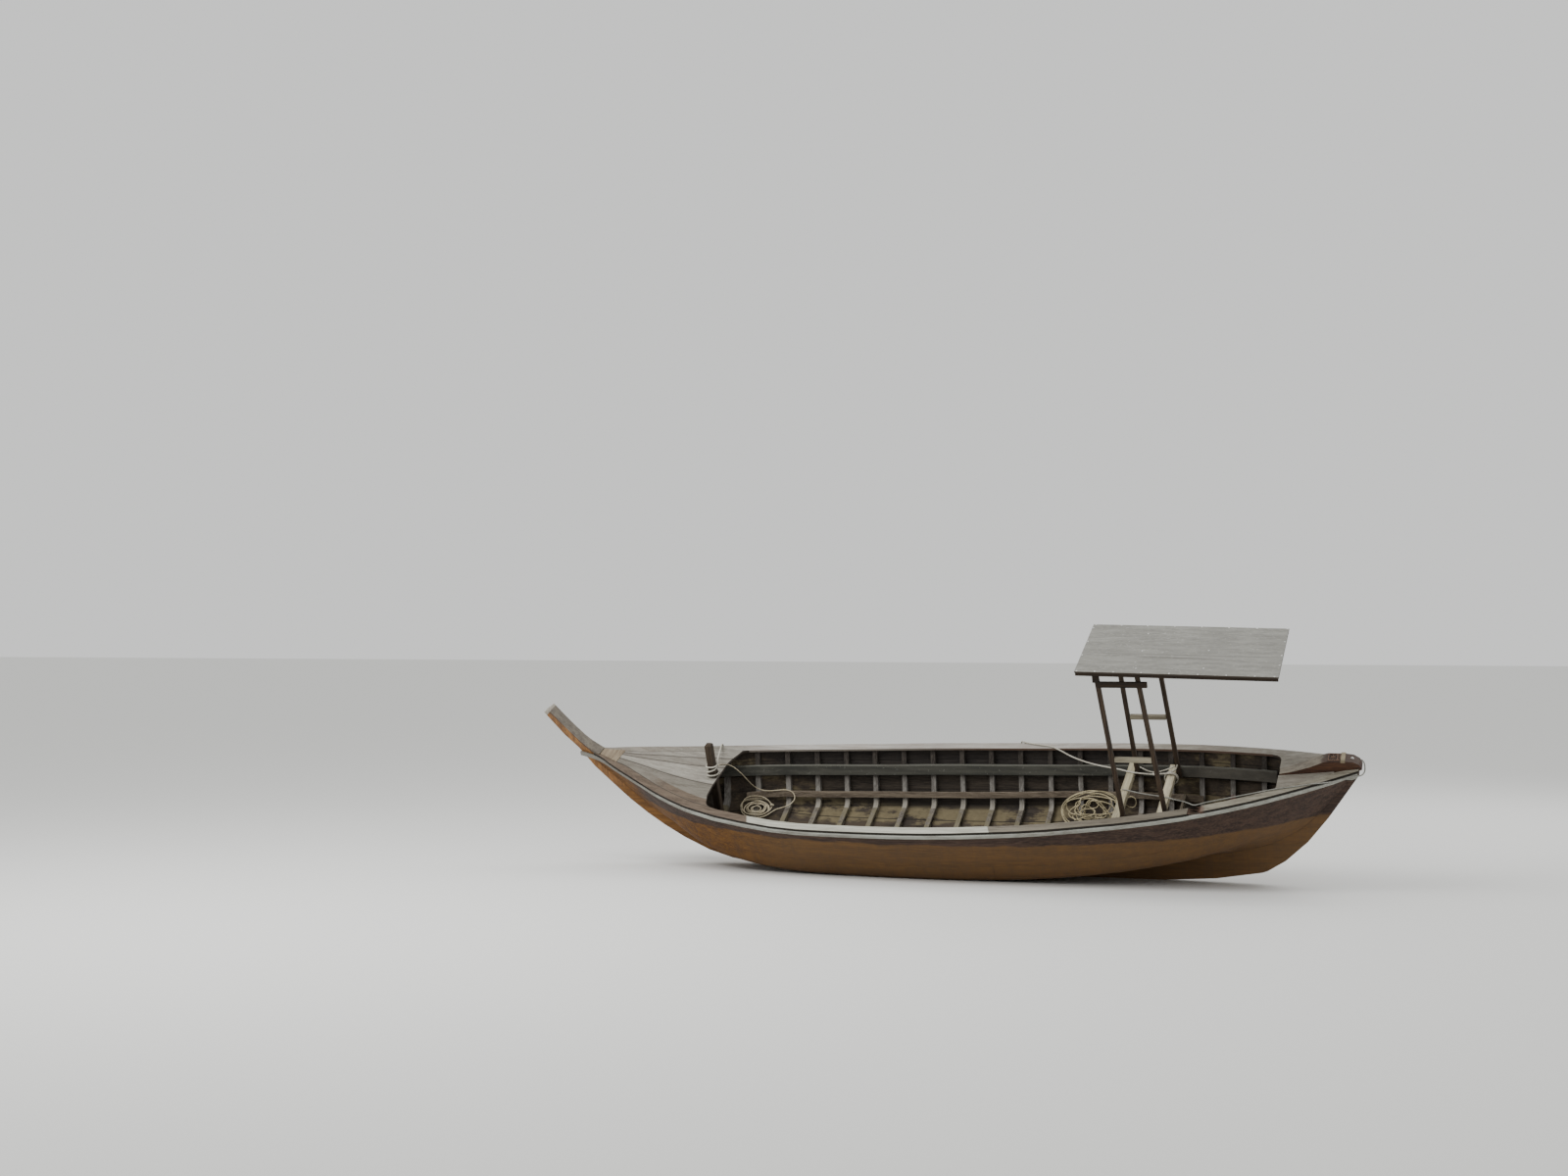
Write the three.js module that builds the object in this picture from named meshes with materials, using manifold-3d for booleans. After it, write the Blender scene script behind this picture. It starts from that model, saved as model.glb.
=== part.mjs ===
// Longtail boat: a slim planked wooden boat with a tall raked stem and a carved stern head,
// lying on its keel and port bilge as it stands ashore. Millimetres, +Z up.
// Hull frame: X runs aft from the bow, Y to starboard, Z up with the keel level; z = 0 near the
// sheer amidships. The whole boat is then heeled and set down on the floor.
import * as THREE from 'three';
import { mergeVertices } from 'three/addons/utils/BufferGeometryUtils.js';
import Module from 'manifold-3d';

const wasm = await Module();
wasm.setup();

// Driving dimensions
const GAP = 0.3;
const PLANK = 26;
const RIB_DEPTH = 52;
const RIB_HALF = 25;
const RIB_FIRST = -2772;
const RIB_PITCH = 318;
const RIB_COUNT = 20;
const KEEL_HALF = 50;
const HOG_HALF = 21;
const KEEL_BOTTOM = -964;
const CAP_THICK = 25;
const CAP_WIDTH = 120;
const CAP_OVERHANG = 12;
const STRIP_THICK = 30;
const STRIP_HIGH = 40;
const HEAD_HALF = 90;
const OPENING_FRONT = -2342;
const OPENING_AFT = 3452;
const CHAMFER_START = 340;
const CHAMFER_SLOPE = 0.26;
const LOWER_STRINGER = [-2250, 2650];
const UPPER_STRINGER = [-2830, 3400];

// Lines of the hull: outer edge of the rail, top of the rail, rabbet, foot of the bilge turn
// (bilgeY, bilgeZ) and head of the bilge turn (sideY, sideZ), at stations along the boat
const LINES = [
  { x: -3900, half: 52, sheer: 388, rabbet: 450, bilgeY: 50, bilgeZ: 452, sideY: 50, sideZ: 454 },
  { x: -3700, half: 72, sheer: 333, rabbet: 236, bilgeY: 54, bilgeZ: 258, sideY: 57, sideZ: 282 },
  { x: -3400, half: 232, sheer: 258, rabbet: -60, bilgeY: 96, bilgeZ: 25, sideY: 142, sideZ: 110 },
  { x: -3100, half: 392, sheer: 187, rabbet: -350, bilgeY: 150, bilgeZ: -205, sideY: 238, sideZ: -65 },
  { x: -2800, half: 545, sheer: 117, rabbet: -550, bilgeY: 240, bilgeZ: -400, sideY: 370, sideZ: -215 },
  { x: -2400, half: 705, sheer: 52, rabbet: -690, bilgeY: 385, bilgeZ: -565, sideY: 535, sideZ: -360 },
  { x: -1900, half: 830, sheer: 6, rabbet: -748, bilgeY: 520, bilgeZ: -655, sideY: 680, sideZ: -435 },
  { x: -1200, half: 932, sheer: -22, rabbet: -765, bilgeY: 615, bilgeZ: -690, sideY: 778, sideZ: -466 },
  { x: 0, half: 972, sheer: -4, rabbet: -765, bilgeY: 655, bilgeZ: -690, sideY: 815, sideZ: -470 },
  { x: 1000, half: 936, sheer: 34, rabbet: -758, bilgeY: 630, bilgeZ: -668, sideY: 785, sideZ: -440 },
  { x: 1800, half: 862, sheer: 88, rabbet: -735, bilgeY: 560, bilgeZ: -615, sideY: 712, sideZ: -385 },
  { x: 2500, half: 752, sheer: 145, rabbet: -690, bilgeY: 440, bilgeZ: -535, sideY: 592, sideZ: -305 },
  { x: 3100, half: 592, sheer: 208, rabbet: -600, bilgeY: 290, bilgeZ: -400, sideY: 425, sideZ: -185 },
  { x: 3600, half: 405, sheer: 270, rabbet: -370, bilgeY: 160, bilgeZ: -195, sideY: 262, sideZ: -15 },
  { x: 3950, half: 247, sheer: 316, rabbet: 0, bilgeY: 92, bilgeZ: 80, sideY: 142, sideZ: 160 },
  { x: 4230, half: 108, sheer: 352, rabbet: 345, bilgeY: 52, bilgeZ: 350, sideY: 54, sideZ: 355 },
];

// Profile of the stem and forefoot, outer edge from the head down to the keel
const STEM_OUTER = [
  [-4200, 799], [-4094, 652], [-4004, 530], [-3926, 446], [-3868, 382], [-3819, 310],
  [-3721, 165], [-3558, -20], [-3368, -228],
  [-3200, -385], [-3027, -525], [-2821, -668], [-2560, -812], [-2300, -903], [-2050, -944],
  [-1800, KEEL_BOTTOM],
];
// After face of the stem head, from the top down to the deck, one point for each point outside
const STEM_AFTER = [
  [-4131, 842], [-4023, 702], [-3929, 587], [-3826, 471], [-3760, 412], [-3684, 357], [-3634, 324],
];
const STEM_HEAD_HALF = 77;
const STEM_LIFT = 1;
const SCARF = -1800;
// Profile of the keel's after end and the sternpost, outer edge
const STERN_OUTER = [
  [2300, KEEL_BOTTOM], [2800, -925], [3250, -842], [3480, -700], [3700, -480], [3900, -210],
  [4060, 40], [4200, 262],
];
// Top of the carved stern head
const HEAD_TOP = [
  [3460, 262], [3600, 298], [3750, 352], [3870, 408], [3915, 420], [4032, 420], [4036, 432],
  [4074, 432], [4078, 420], [4150, 412], [4205, 382], [4228, 335],
];

const FINISH = {
  silver: { color: 0xa9a59c, rough: 0.85 },
  grey: { color: 0x85807a, rough: 0.88 },
  brown: { color: 0x6a4c3a, rough: 0.8 },
  dark: { color: 0x4a3830, rough: 0.85 },
  orange: { color: 0xa4572c, rough: 0.55 },
  red: { color: 0x6b3228, rough: 0.6 },
  green: { color: 0x5f6560, rough: 0.8 },
  pale: { color: 0xc9c2b4, rough: 0.85 },
  whiteLine: { color: 0xd6d0c2, rough: 0.9 },
  tanLine: { color: 0xb3a183, rough: 0.9 },
  greyLine: { color: 0x8e9089, rough: 0.8 },
};

// Shape-keeping cubic through a table of [x, value] pairs
function curve(table) {
  const slope = table.slice(1).map((p, i) => (p[1] - table[i][1]) / (p[0] - table[i][0]));
  const lean = table.map((p, i) => {
    if (i === 0) return slope[0];
    if (i === table.length - 1) return slope[i - 1];
    const [a, b] = [slope[i - 1], slope[i]];
    return a * b <= 0 ? 0 : (2 * a * b) / (a + b);
  });
  return (x) => {
    let i = table.findIndex((p) => p[0] > x) - 1;
    if (x >= table[table.length - 1][0]) i = table.length - 2;
    if (i < 0) i = 0;
    const w = table[i + 1][0] - table[i][0];
    const t = (x - table[i][0]) / w;
    const [a, b] = [table[i][1], table[i + 1][1]];
    const [p, q] = [lean[i] * w, lean[i + 1] * w];
    return a + t * (p + t * (3 * (b - a) - 2 * p - q + t * (2 * (a - b) + p + q)));
  };
}

const column = (name) => curve(LINES.map((row) => [row.x, row[name]]));
const half = column('half');
const sheer = column('sheer');
const rabbet = column('rabbet');
const bilgeY = column('bilgeY');
const bilgeZ = column('bilgeZ');
const sideY = column('sideY');
const sideZ = column('sideZ');
const stemOuter = curve(STEM_OUTER);
const sternOuter = curve(STERN_OUTER);

// Width of the rail board, narrower where it runs into the stem
const capWidth = (x) => Math.min(CAP_WIDTH, Math.max(30, 40 + (x + 3600) * 0.27));
// Inner edge of the rail, held clear of the stern head
const capInner = (x) => Math.max(half(x) - capWidth(x), x > 3440 ? HEAD_HALF + 1 : 2);

// Outer skin of the starboard side at a station, from the rabbet up to the rail, as [y, z]
function skin(x) {
  const foot = [KEEL_HALF, rabbet(x) + GAP];
  const low = [bilgeY(x), bilgeZ(x)];
  const high = [sideY(x), sideZ(x)];
  const top = [half(x) - CAP_OVERHANG, sheer(x) - CAP_THICK - GAP];
  const reach = 0.42;
  const span = Math.hypot(high[0] - low[0], high[1] - low[1]);
  const along = (a, b) => {
    const l = Math.hypot(b[0] - a[0], b[1] - a[1]);
    return [(b[0] - a[0]) / l, (b[1] - a[1]) / l];
  };
  const from = along(foot, low);
  const to = along(high, top);
  const c1 = [low[0] + from[0] * span * reach, low[1] + from[1] * span * reach];
  const c2 = [high[0] - to[0] * span * reach, high[1] - to[1] * span * reach];
  const turn = [0.25, 0.5, 0.75].map((t) => {
    const u = 1 - t;
    return [0, 1].map((k) => u * u * u * low[k] + 3 * u * u * t * c1[k]
      + 3 * u * t * t * c2[k] + t * t * t * high[k]);
  });
  const middle = [(high[0] + top[0]) / 2, (high[1] + top[1]) / 2];
  return [foot, low, ...turn, high, middle, top];
}

// The skin moved inward by a depth: the edge on the keel slides in along its normal, and the
// top edge stays at its height
function within(x, depth) {
  const path = skin(x);
  const normals = path.slice(1).map((p, i) => {
    const [dy, dz] = [p[0] - path[i][0], p[1] - path[i][1]];
    const l = Math.hypot(dy, dz);
    return [-dz / l, dy / l];
  });
  return path.map((p, i) => {
    if (i === path.length - 1) {
      const n = normals[i - 1];
      return [p[0] + depth / n[0], p[1]];
    }
    const a = normals[Math.max(0, i - 1)];
    const b = normals[i];
    const scale = depth / (1 + a[0] * b[0] + a[1] * b[1]);
    return [Math.max(HOG_HALF + 1, p[0] + (a[0] + b[0]) * scale), p[1] + (a[1] + b[1]) * scale];
  });
}

// How far out from the middle the surface at a depth lies, at a height
function reachAt(x, z, depth) {
  const path = within(x, depth);
  for (let i = path.length - 1; i > 0; i -= 1) {
    const [a, b] = [path[i - 1], path[i]];
    if (z >= a[1]) return a[0] + ((b[0] - a[0]) * (z - a[1])) / (b[1] - a[1]);
  }
  return path[0][0];
}

function geometryFrom(points, faces) {
  let volume = 0;
  for (const [a, b, c] of faces) {
    const [p, q, r] = [points[a], points[b], points[c]];
    volume += p[0] * (q[1] * r[2] - q[2] * r[1]) + p[1] * (q[2] * r[0] - q[0] * r[2])
      + p[2] * (q[0] * r[1] - q[1] * r[0]);
  }
  const turned = volume < 0 ? faces.map(([a, b, c]) => [a, c, b]) : faces;
  const geometry = new THREE.BufferGeometry();
  geometry.setAttribute('position', new THREE.BufferAttribute(new Float32Array(points.flat()), 3));
  geometry.setIndex(turned.flat());
  return geometry;
}

// Closed solid between two grids of points that face each other
function board(outer, inner) {
  const [m, n] = [outer.length - 1, outer[0].length - 1];
  const points = [...outer.flat(), ...inner.flat()];
  const half2 = (m + 1) * (n + 1);
  const o = (i, j) => i * (n + 1) + j;
  const k = (i, j) => half2 + o(i, j);
  const faces = [];
  const quad = (a, b, c, d) => faces.push([a, b, c], [a, c, d]);
  for (let i = 0; i < m; i += 1) {
    for (let j = 0; j < n; j += 1) {
      quad(o(i, j), o(i + 1, j), o(i + 1, j + 1), o(i, j + 1));
      quad(k(i, j), k(i, j + 1), k(i + 1, j + 1), k(i + 1, j));
    }
    quad(o(i, 0), k(i, 0), k(i + 1, 0), o(i + 1, 0));
    quad(o(i, n), o(i + 1, n), k(i + 1, n), k(i, n));
  }
  for (let j = 0; j < n; j += 1) {
    quad(o(0, j), o(0, j + 1), k(0, j + 1), k(0, j));
    quad(o(m, j + 1), o(m, j), k(m, j), k(m, j + 1));
  }
  return geometryFrom(points, faces);
}

// Closed solid from a profile in the X-Z plane, between two places across
function slab(profile, y0, y1) {
  const clockwise = THREE.ShapeUtils.isClockWise(profile.map(([x, z]) => new THREE.Vector2(x, z)));
  const ring = clockwise ? [...profile].reverse() : profile;
  const n = ring.length;
  const points = [...ring.map(([x, z]) => [x, y0, z]), ...ring.map(([x, z]) => [x, y1, z])];
  const flat = ring.map(([x, z]) => new THREE.Vector2(x, z));
  const faces = [];
  for (const [a, b, c] of THREE.ShapeUtils.triangulateShape(flat, [])) {
    faces.push([a, b, c], [a + n, c + n, b + n]);
  }
  for (let i = 0; i < n; i += 1) {
    const j = (i + 1) % n;
    faces.push([j, i, i + n], [j, i + n, j + n]);
  }
  return geometryFrom(points, faces);
}

function block(x0, x1, y0, y1, z0, z1) {
  return slab([[x0, z0], [x1, z0], [x1, z1], [x0, z1]], y0, y1);
}

// Heights of the inner planks: the upper one nearly keeps its distance below the rail
const underRail = curve([[-2830, 167], [-1860, 169], [-740, 177], [1340, 181], [3170, 160], [3400, 157]]);
const upperHigh = (x) => sheer(x) - underRail(x);
const upperLow = (x) => upperHigh(x) - 95;
const lowerHigh = curve([
  [-2300, -400], [-2100, -412.6], [-1900, -427.1], [-1700, -442.2], [-1300, -467], [-500, -466],
  [170, -456], [700, -431], [1330, -390], [2650, -287],
]);
const lowerLow = (x) => lowerHigh(x) - 57;

// Straight timber of rectangular section between a foot and a top, level cut at both ends
function leg(foot, top, wide, deep) {
  const ring = ([x, y, z], s) => [[x - wide / 2, y + (s * deep) / 2, z],
    [x + wide / 2, y + (s * deep) / 2, z]];
  return board([ring(foot, 1), ring(top, 1)], [ring(foot, -1), ring(top, -1)]);
}

function toManifold(geometry) {
  const clean = geometry.clone();
  clean.deleteAttribute('normal');
  clean.deleteAttribute('uv');
  const merged = mergeVertices(clean, 1e-4);
  return new wasm.Manifold(new wasm.Mesh({
    numProp: 3,
    vertProperties: new Float32Array(merged.attributes.position.array),
    triVerts: new Uint32Array(merged.index.array),
  }));
}

function fromManifold(solid) {
  const mesh = solid.getMesh();
  const geometry = new THREE.BufferGeometry();
  geometry.setAttribute('position', new THREE.BufferAttribute(mesh.vertProperties, 3));
  geometry.setIndex([...mesh.triVerts]);
  return geometry;
}

const join = (parts) => fromManifold(parts.map(toManifold).reduce((a, b) => a.add(b)));
const cut = (body, tool) => fromManifold(toManifold(body).subtract(toManifold(tool)));

// Stations: both faces of every rib, and more towards the ends
const ribs = Array.from({ length: RIB_COUNT }, (_, i) => RIB_FIRST + i * RIB_PITCH);
const STATIONS = [
  -3700, -3628, -3560, -3490, -3420, -3280, -3160, -3060, -3000, -2900, -2640, -2560, -2510,
  ...ribs.flatMap((x) => [x - RIB_HALF, x + RIB_HALF]),
  3430, 3480, 3540, 3600, 3700, 3800, 3890, 3975, 4080,
].sort((a, b) => a - b);
const AFT_END = 4080;
const between = (a, b) => [a, ...STATIONS.filter((x) => x > a + 1 && x < b - 1), b];

// Planking in four strakes a side, named by where the strake starts and ends on the skin; the
// bilge strake is in two lengths that meet in a butt joint at a rib
const BUTT = 751;
const STRAKES = [
  { name: 'bottom_strake', from: 0, to: 1, x0: -3700, x1: AFT_END, finish: 'orange' },
  { name: 'bilge_strake_fore', from: 1, to: 5, x0: -3700, x1: BUTT - GAP / 2, finish: 'orange' },
  { name: 'bilge_strake_aft', from: 1, to: 5, x0: BUTT + GAP / 2, x1: AFT_END, finish: 'orange' },
  { name: 'lower_side_strake', from: 5, to: 6, x0: -3700, x1: AFT_END, finish: 'brown' },
  { name: 'sheer_strake', from: 6, to: 7, x0: -3700, x1: AFT_END, finish: 'dark' },
];

function strake({ from, to, x0, x1 }, side) {
  const seam = GAP / 2;
  const row = (x, depth) => {
    const path = within(x, depth).slice(from, to + 1).map((p) => [...p]);
    const pull = (i, j) => {
      const l = Math.hypot(path[j][0] - path[i][0], path[j][1] - path[i][1]);
      return path[i].map((v, k) => v + ((path[j][k] - v) * seam) / l);
    };
    const [first, last] = [pull(0, 1), pull(path.length - 1, path.length - 2)];
    path[0] = first;
    path[path.length - 1] = last;
    return path.map(([y, z]) => [x, side * y, z]);
  };
  const xs = between(x0, x1);
  return board(xs.map((x) => row(x, 0)), xs.map((x) => row(x, PLANK)));
}

// Top of the narrow inner part of the keel, just under the floor timbers
const hogTop = (x) => within(x, PLANK)[0][1] - 1;

// Head of the stem above the rail: a broad after face, and sides that close in to the outer edge
function stemHead() {
  const side = (s) => STEM_AFTER.map(([x, z], i) => [
    [STEM_OUTER[i][0], s * KEEL_HALF, STEM_OUTER[i][1]], [x, s * STEM_HEAD_HALF, z],
  ]);
  const xs = [-3900, -3800, -3700, -3628];
  const rail = xs.map((x) => [x, sheer(x) + STEM_LIFT]);
  const under = slab([[-3900, 0], ...rail, [-3628, 0]], -120, 120);
  return cut(board(side(1), side(-1)), under);
}

// Stem, forefoot and apron: wide outside the rabbet, narrow between the planks
function stem() {
  const xs = between(-3704, SCARF - GAP / 2);
  const outer = STEM_OUTER.filter((p) => p[0] < SCARF - 1);
  const rabbetLine = xs.map((x) => [x, rabbet(x)]).reverse();
  const onRail = (x) => [x, sheer(x) + STEM_LIFT];
  const low = slab([
    ...outer, [SCARF - GAP / 2, KEEL_BOTTOM], ...rabbetLine,
    onRail(-3704), onRail(-3700), onRail(-3634), ...[...STEM_AFTER].reverse(),
  ], -KEEL_HALF, KEEL_HALF);
  const wide = join([low, stemHead()]);
  const inner = xs.filter((x) => x > -3640).map((x) => [x, Math.min(hogTop(x) + (x < -2830 ? 60 : 0), 200)]);
  const foot = [...inner].reverse().map(([x]) => [x, rabbet(x) - 20]);
  return join([wide, slab([...inner, ...foot], -HOG_HALF, HOG_HALF)]);
}

function keel() {
  const xs = between(SCARF + GAP / 2, 3300 - GAP / 2);
  const bottom = STERN_OUTER.filter((p) => p[0] < 3299);
  const wide = slab([
    [SCARF + GAP / 2, KEEL_BOTTOM], ...bottom, [3300 - GAP / 2, sternOuter(3300)],
    ...xs.map((x) => [x, rabbet(x)]).reverse(),
  ], -KEEL_HALF, KEEL_HALF);
  const top = xs.map((x) => [x, hogTop(x)]);
  const low = xs.map((x) => [x, rabbet(x) - 20]).reverse();
  return join([wide, slab([...top, ...low], -HOG_HALF, HOG_HALF)]);
}

function sternpost() {
  const xs = between(3300 + GAP / 2, AFT_END);
  const outer = STERN_OUTER.filter((p) => p[0] > 3301);
  const wide = slab([
    [3300 + GAP / 2, sternOuter(3300)], ...outer, [4196, 290], [AFT_END + 2, 290],
    ...xs.map((x) => [x, rabbet(x)]).reverse(),
  ], -KEEL_HALF, KEEL_HALF);
  const top = xs.filter((x) => x < 4030).map((x) => [x, Math.min(hogTop(x) + (x > 3400 ? 60 : 0), 190)]);
  const low = [...top].reverse().map(([x]) => [x, rabbet(x) - 20]);
  return join([wide, slab([...top, ...low], -HOG_HALF, HOG_HALF)]);
}

// Floor part of one rib, from the middle of the keel to the foot of the bilge turn
function floorTimber(x, side) {
  const row = (at, depth) => {
    const path = within(at, depth).slice(0, 2);
    return [[GAP / 2, path[0][1]], ...path].map(([y, z]) => [at, side * y, z]);
  };
  const faces = [x - RIB_HALF, x + RIB_HALF];
  return board(
    faces.map((at) => row(at, PLANK + GAP)),
    faces.map((at) => row(at, PLANK + RIB_DEPTH)),
  );
}

// Side part of one rib, from the foot of the bilge turn to the rail
function sideTimber(x, side) {
  const row = (at, depth) => {
    const path = within(at, depth).slice(1);
    const [[ya, za], [yb, zb]] = path;
    const l = Math.hypot(yb - ya, zb - za);
    path[0] = [ya + ((yb - ya) * GAP) / l, za + ((zb - za) * GAP) / l];
    return path.map(([y, z]) => [at, side * y, z]);
  };
  const faces = [x - RIB_HALF, x + RIB_HALF];
  return board(
    faces.map((at) => row(at, PLANK + GAP)),
    faces.map((at) => row(at, PLANK + RIB_DEPTH)),
  );
}

// Floor timbers of one side, held together by that side's plank of the keelson over them
function floorTimbers(side) {
  const [first, last] = [ribs[0], ribs[RIB_COUNT - 1]];
  const xs = between(first - 60, last + 60);
  const level = (x) => within(x, PLANK + RIB_DEPTH)[0][1];
  const wide = (x) => (x > 2700 || x < -2300 ? 24 : 60);
  const grid = (dz) => xs.map((x) => [GAP / 2, wide(x)].map((y) => [x, side * y, level(x) + dz]));
  return join([board(grid(24), grid(-16)), ...ribs.map((x) => floorTimber(x, side))]);
}

// Long inner plank let into the faces of the ribs, between two heights that follow two curves
function stringer(side, from, to, low, high, near, far) {
  const xs = between(from, to);
  const grid = (depth) => xs.map((x) => [low(x), high(x)]
    .map((z) => [x, side * reachAt(x, z, PLANK + RIB_DEPTH + depth), z]));
  return board(grid(near), grid(far));
}

// Side timbers held together by the upper stringer
function sideTimbers(side) {
  const plank = stringer(side, ...UPPER_STRINGER, upperLow, upperHigh, -6, 24);
  return join([plank, ...ribs.map((x) => sideTimber(x, side))]);
}

// Rail board along one side
function railCap(side, from, to) {
  const xs = between(from, to);
  const grid = (drop) => xs.map((x) => [half(x), capInner(x)].map((y) => [x, side * y, sheer(x) - drop]));
  return board(grid(0), grid(CAP_THICK));
}

// Pale strip below the rail, let go a little from the twisting planks aft
function rubStrip(side) {
  const clearance = curve([
    [-4000, 0.5], [2000, 0.5], [2800, 1.2], [3600, 2.8], [3950, 6], [4080, 6], [4200, 4],
  ]);
  const xs = [-3850, -3780, ...between(-3700, AFT_END), 4140, 4190];
  const row = (x, out) => [STRIP_HIGH, 0].map((drop) => {
    const z = sheer(x) - CAP_THICK - 2 - drop;
    const on = x > AFT_END ? half(x) - CAP_OVERHANG : Math.max(KEEL_HALF, reachAt(x, z, 0));
    return [x, side * (on + clearance(x) + out), z];
  });
  return board(xs.map((x) => row(x, STRIP_THICK)), xs.map((x) => row(x, 0)));
}

// Foredeck board between two fractions of the width; its aft end follows the edge of the opening
function foredeck(left, right) {
  const lines = [left, (left + right) / 2, right];
  const across = (x, f) => f * (capInner(x) - GAP);
  const edge = (f) => {
    let x = OPENING_FRONT;
    for (let k = 0; k < 6; k += 1) {
      x = OPENING_FRONT + Math.max(0, Math.abs(across(x, f)) - CHAMFER_START) * CHAMFER_SLOPE;
    }
    return x;
  };
  const xs = STATIONS.filter((x) => x >= -3420 && x < -2420);
  const row = (at, drop) => lines.map((f, j) => {
    const x = at ?? edge(f);
    const clear = at === undefined ? 4 : 1;
    const trim = [GAP / 2 + (f === -1 ? clear : 0), 0, -GAP / 2 - (f === 1 ? clear : 0)][j];
    return [x, across(x, f) + trim, sheer(x) - drop];
  });
  const grid = (drop) => [...xs, undefined].map((at) => row(at, drop));
  return board(grid(0), grid(CAP_THICK));
}

function breasthook() {
  const xs = [-3628, -3560, -3490, -3420 - GAP];
  const grid = (drop) => xs.map((x) => [-1, 0, 1]
    .map((f) => [x, f * (capInner(x) - GAP), sheer(x) + 6 - drop]));
  return board(grid(0), grid(CAP_THICK + 6));
}

// Timber across the hull under a deck, cut to the skin
function deckBeam(x0, x1, deep) {
  const row = (x, dz) => [-1, 1].map((s) => {
    const z = sheer(x) - CAP_THICK - GAP - dz;
    return [x, s * (reachAt(x, z - 1, PLANK) - 1), z];
  });
  return board([row(x0, 0), row(x1, 0)], [row(x0, deep), row(x1, deep)]);
}

function sternBoard(side) {
  const xs = [OPENING_AFT, ...STATIONS.filter((x) => x > OPENING_AFT && x < 3980)];
  const inner = (x) => 2 + headHalf(x);
  const grid = (drop) => xs.map((x) => [inner(x), Math.max(inner(x) + 12, capInner(x) - GAP)]
    .map((y) => [x, side * y, sheer(x) - drop]));
  return board(grid(0), grid(CAP_THICK));
}

const headHalf = curve([[3440, 62], [3600, 72], [3900, 90], [4100, 88], [4240, 70]]);

// Carved stern head: swells upward and outward to the end
function sternHead() {
  const bottom = (x) => sheer(x) - CAP_THICK;
  const tops = HEAD_TOP;
  const ring = (s) => tops.map(([x, z]) => [[x, s * headHalf(x), bottom(x)], [x, s * headHalf(x), z]]);
  return board(ring(1), ring(-1));
}

function bitt() {
  const w = 37;
  const [x, top] = [-2392, 430];
  const foot = within(x - w, PLANK + RIB_DEPTH)[0][1] + 24 + GAP;
  const edge = (y, z, reach) => [[x - reach, y, z], [x + reach, y, z]];
  const bevelled = (s) => [edge(s * w, top - 14, w), edge(s * (w - 10), top, w - 10)];
  return join([block(x - w, x + w, -w, w, foot, top - 14), board(bevelled(1), bevelled(-1))]);
}

// Canopy: two pairs of posts on the cross-beams, rungs, top rails, bearers and roof boards
const BEAM_TOP = -2;
const BEAMS = [
  { name: 'front_cross_beam', x: 1943.6 },
  { name: 'aft_cross_beam', x: 2358.2 },
];
const POSTS = [
  { name: 'front_port_post', foot: 2010, top: 1862, side: -1 },
  { name: 'front_starboard_post', foot: 2010, top: 1878, side: 1 },
  { name: 'aft_port_post', foot: 2426, top: 2248, side: -1 },
  { name: 'aft_starboard_post', foot: 2426, top: 2268, side: 1 },
];
const POST_Y = 462;
const POST_FOOT = -74;
const POST_TOP = 1462;
// Canopy roof: pitched down a little towards the stern, over bearers and a rail on the posts
const ROOF = { x0: 1672, x1: 3556, half: 548, fore: 1560, aft: 1514, board: 16, bearer: 22, rail: 34 };
const roofTop = (x) => ROOF.fore + ((x - ROOF.x0) * (ROOF.aft - ROOF.fore)) / (ROOF.x1 - ROOF.x0);
const UNDER_BOARDS = ROOF.board + GAP;
const UNDER_BEARERS = UNDER_BOARDS + ROOF.bearer + GAP;
const UNDER_RAIL = UNDER_BEARERS + ROOF.rail + GAP;
// Plank or bearer that keeps its distance below the top of the roof
const roofSlab = (x0, x1, y0, y1, drop, thick) => slab([
  [x0, roofTop(x0) - drop - thick], [x1, roofTop(x1) - drop - thick],
  [x1, roofTop(x1) - drop], [x0, roofTop(x0) - drop],
], y0, y1);

function crossBeam(x) {
  const depth = PLANK + RIB_DEPTH + 26;
  const reach = Math.min(...[x - 40, x + 40].map((at) => reachAt(at, BEAM_TOP - 70, depth)));
  return block(x - 38, x + 38, -reach, reach, BEAM_TOP - 72, BEAM_TOP);
}

const boat = new THREE.Group();

function add(name, geometry, finish) {
  const { color, rough } = FINISH[finish];
  const material = new THREE.MeshStandardMaterial({ color, roughness: rough, metalness: 0 });
  const mesh = new THREE.Mesh(geometry, material);
  mesh.name = name;
  boat.add(mesh);
}

const SIDES = [
  { side: -1, label: 'port' },
  { side: 1, label: 'starboard' },
];

add('stem', stem(), 'orange');
add('keel', keel(), 'orange');
add('sternpost', sternpost(), 'orange');
for (const { side, label } of SIDES) {
  for (const row of STRAKES) add(`${row.name}_${label}`, strake(row, side), row.finish);
}
for (const { side, label } of SIDES) {
  add(`floor_timbers_and_keelson_${label}`, floorTimbers(side), 'grey');
  add(`side_timbers_and_stringer_${label}`, sideTimbers(side), 'green');
  const lower = stringer(side, ...LOWER_STRINGER, lowerLow, lowerHigh, 0.8, 24);
  add(`lower_stringer_${label}`, lower, 'brown');
}
const BREAK = [2660, 2780];
add('rail_cap_starboard', railCap(1, -3700, 4200), 'silver');
add('rail_cap_port_forward', railCap(-1, -3700, BREAK[0]), 'silver');
add('rail_cap_port_aft', railCap(-1, BREAK[1], 4200), 'grey');
for (const { side, label } of SIDES) add(`rub_strip_${label}`, rubStrip(side), 'silver');

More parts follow.
